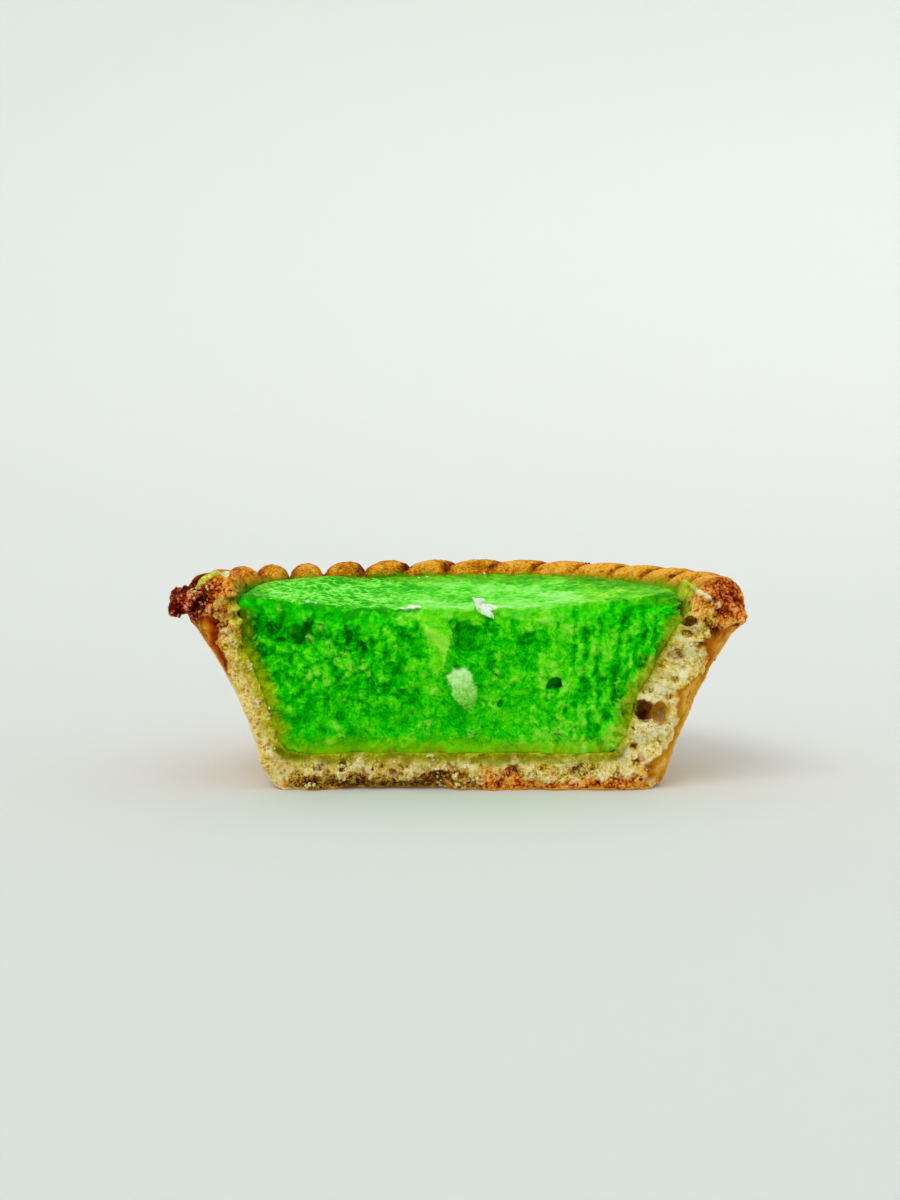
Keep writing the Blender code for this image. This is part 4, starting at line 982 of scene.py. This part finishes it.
# Smear: a streak of filling left on the rim's left end when the tart was broken, white at its tip
SMEAR_PATH = ((-35.9, 27.0), (-35.3, 27.8), (-34.2, 28.5), (-33.0, 28.9), (-31.9, 29.2), (-31.3, 29.5))
SMEAR_WIDTHS = (0.25, 0.5, 0.55, 0.5, 0.65, 0.4)
SMEAR_SIDES = 12
SMEAR_STEPS = 6
SMEAR_ROUNDS = 30
path = []
for place in range((len(SMEAR_PATH) - 1) * SMEAR_STEPS + 1):
    first = min(place // SMEAR_STEPS, len(SMEAR_PATH) - 2)
    share = place / SMEAR_STEPS - first
    x, z = [a + (b - a) * share for a, b in zip(SMEAR_PATH[first], SMEAR_PATH[first + 1])]
    width = SMEAR_WIDTHS[first] + (SMEAR_WIDTHS[first + 1] - SMEAR_WIDTHS[first]) * share
    spot = seen(x, z, surfaces[:1])
    if spot:
        path.append((spot, width))
depths = [spot.y for spot, _ in path]
for _ in range(SMEAR_ROUNDS):
    depths = [sum(depths[max(i - 1, 0):i + 2]) / len(depths[max(i - 1, 0):i + 2]) for i in range(len(depths))]
shape = bmesh.new()
rings = []
laid = [surfaces[0].find_nearest((spot.x, depth, spot.z)) for (spot, _), depth in zip(path, depths)]
for index, (spot, out, *_) in enumerate(laid):
    along = (laid[min(index + 1, len(laid) - 1)][0] - laid[max(index - 1, 0)][0]).normalized()
    out = (out + Vector((0.0, -0.8, 0.6))).normalized()
    across = along.cross(out).normalized()
    out = across.cross(along).normalized()
    ring = []
    for side in range(SMEAR_SIDES):
        turn = math.tau * side / SMEAR_SIDES
        offset = across * (math.cos(turn) * path[index][1]) + out * (math.sin(turn) * 0.35)
        ring.append(shape.verts.new(spot + offset * MM))
    rings.append(ring)
for ring, following in zip(rings, rings[1:]):
    for side in range(SMEAR_SIDES):
        shape.faces.new((ring[side], ring[side - 1], following[side - 1], following[side]))
shape.faces.new(rings[0])
shape.faces.new(reversed(rings[-1]))
bmesh.ops.recalc_face_normals(shape, faces=shape.faces)
bmesh.ops.subdivide_edges(shape, edges=shape.edges[:], cuts=1, use_grid_fill=True)
rough(shape, 0.25, 0.6, 2.0)
smear = new_piece("filling_smear", shape)
smear_x = vertex_places(smear.data)[1][:, 0]
mark(smear.data, "whiteness", smooth(-33.3, -32.2, smear_x))

# Dried streak of filling: dull yellow-green, whitish where it is thinnest
material, tree, shader, place = new_material("dried_filling")
grit = speckle(tree, place, 0.5, detail=3.0)
streak = ramp(tree, grit, ((0.15, "#a4a400"), (0.5, "#ccd020"), (0.85, "#ecec60")))
tree.links.new(between(tree, own(tree, "whiteness"), streak, linear("#fbfbe8")), shader.inputs["Base Color"])
shader.inputs["Roughness"].default_value = 0.55
smear.data.materials.append(material)
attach(smear, "root")

# Floor: a plain pale sweep that rises slowly all round, so that no edge or horizon shows
FLOOR_RADIUS = 0.12
FLOOR_CURVE = 1.6
FLOOR_STEPS = 36
shape = bmesh.new()
verts = [shape.verts.new((0.0, 0.0, 0.0)), shape.verts.new((FLOOR_RADIUS, 0.0, 0.0))]
for step in range(1, FLOOR_STEPS + 1):
    turn = math.radians(90.0) * step / FLOOR_STEPS
    verts.append(shape.verts.new((
        FLOOR_RADIUS + FLOOR_CURVE * math.sin(turn), 0.0, FLOOR_CURVE * (1.0 - math.cos(turn)),
    )))
edges = [shape.edges.new(pair) for pair in zip(verts, verts[1:])]
bmesh.ops.spin(
    shape, geom=verts + edges, cent=(0, 0, 0), axis=(0, 0, 1), angle=math.tau, steps=96, use_merge=True,
)
bmesh.ops.remove_doubles(shape, verts=shape.verts, dist=0.0001)
bmesh.ops.recalc_face_normals(shape, faces=shape.faces)
bmesh.ops.reverse_faces(shape, faces=shape.faces)
floor = new_piece("floor", shape)
material, tree, shader, place = new_material("white_paper_painted_falloff")
# Painted shade: the paper is darker further up, as the studio light falls off.
height = add(tree, "ShaderNodeSeparateXYZ", links={"Vector": place}).outputs["Z"]
rise = add(tree, "ShaderNodeMapRange", links={"Value": height, "From Min": 60.0, "From Max": 500.0})
paper_painted_falloff = ramp(tree, rise.outputs["Result"], ((0.0, "#dfe0de"), (1.0, "#cfd3cf")))
tree.links.new(paper_painted_falloff, shader.inputs["Base Color"])
shader.inputs["Roughness"].default_value = 0.9
floor.data.materials.append(material)

# Light: broad soft lamps far away, the stronger one from the upper left, in a pale room
LIGHTS = (
    ("key_light", (-0.45, -0.6, 0.8), 40.0, 1.5),
    ("fill_light", (0.7, -0.6, 0.35), 60.0, 0.25),
)
for name, position, spread, strength in LIGHTS:
    lamp = bpy.data.lights.new(name, "SUN")
    lamp.energy = strength
    lamp.angle = math.radians(spread)
    holder = bpy.data.objects.new(name, lamp)
    holder.location = position
    holder.rotation_euler = Vector(position).to_track_quat("Z", "Y").to_euler()
    bpy.context.scene.collection.objects.link(holder)
room = bpy.data.worlds.new("pale_room")
room.use_nodes = True
room.node_tree.nodes["Background"].inputs["Color"].default_value = linear("#f2f6f3")
room.node_tree.nodes["Background"].inputs["Strength"].default_value = 1.0
bpy.context.scene.world = room
bpy.context.scene.view_settings.view_transform = "Standard"

# Camera: level with the break and a little above it, as the picture was taken
CAMERA_DIP = math.radians(5.33)
FOCAL_LENGTH = 45.6
SENSOR_HEIGHT = 36.0
lens = bpy.data.cameras.new("camera")
lens.sensor_fit = "VERTICAL"
lens.sensor_height = SENSOR_HEIGHT
lens.lens = FOCAL_LENGTH
lens.clip_start = 0.01
camera = bpy.data.objects.new("camera", lens)
camera.location = (Vector(TART_AXIS) + CAMERA_FROM_AXIS) * MM
camera.rotation_euler = (math.radians(90.0) - CAMERA_DIP, 0.0, 0.0)
bpy.context.scene.collection.objects.link(camera)
bpy.context.scene.camera = camera
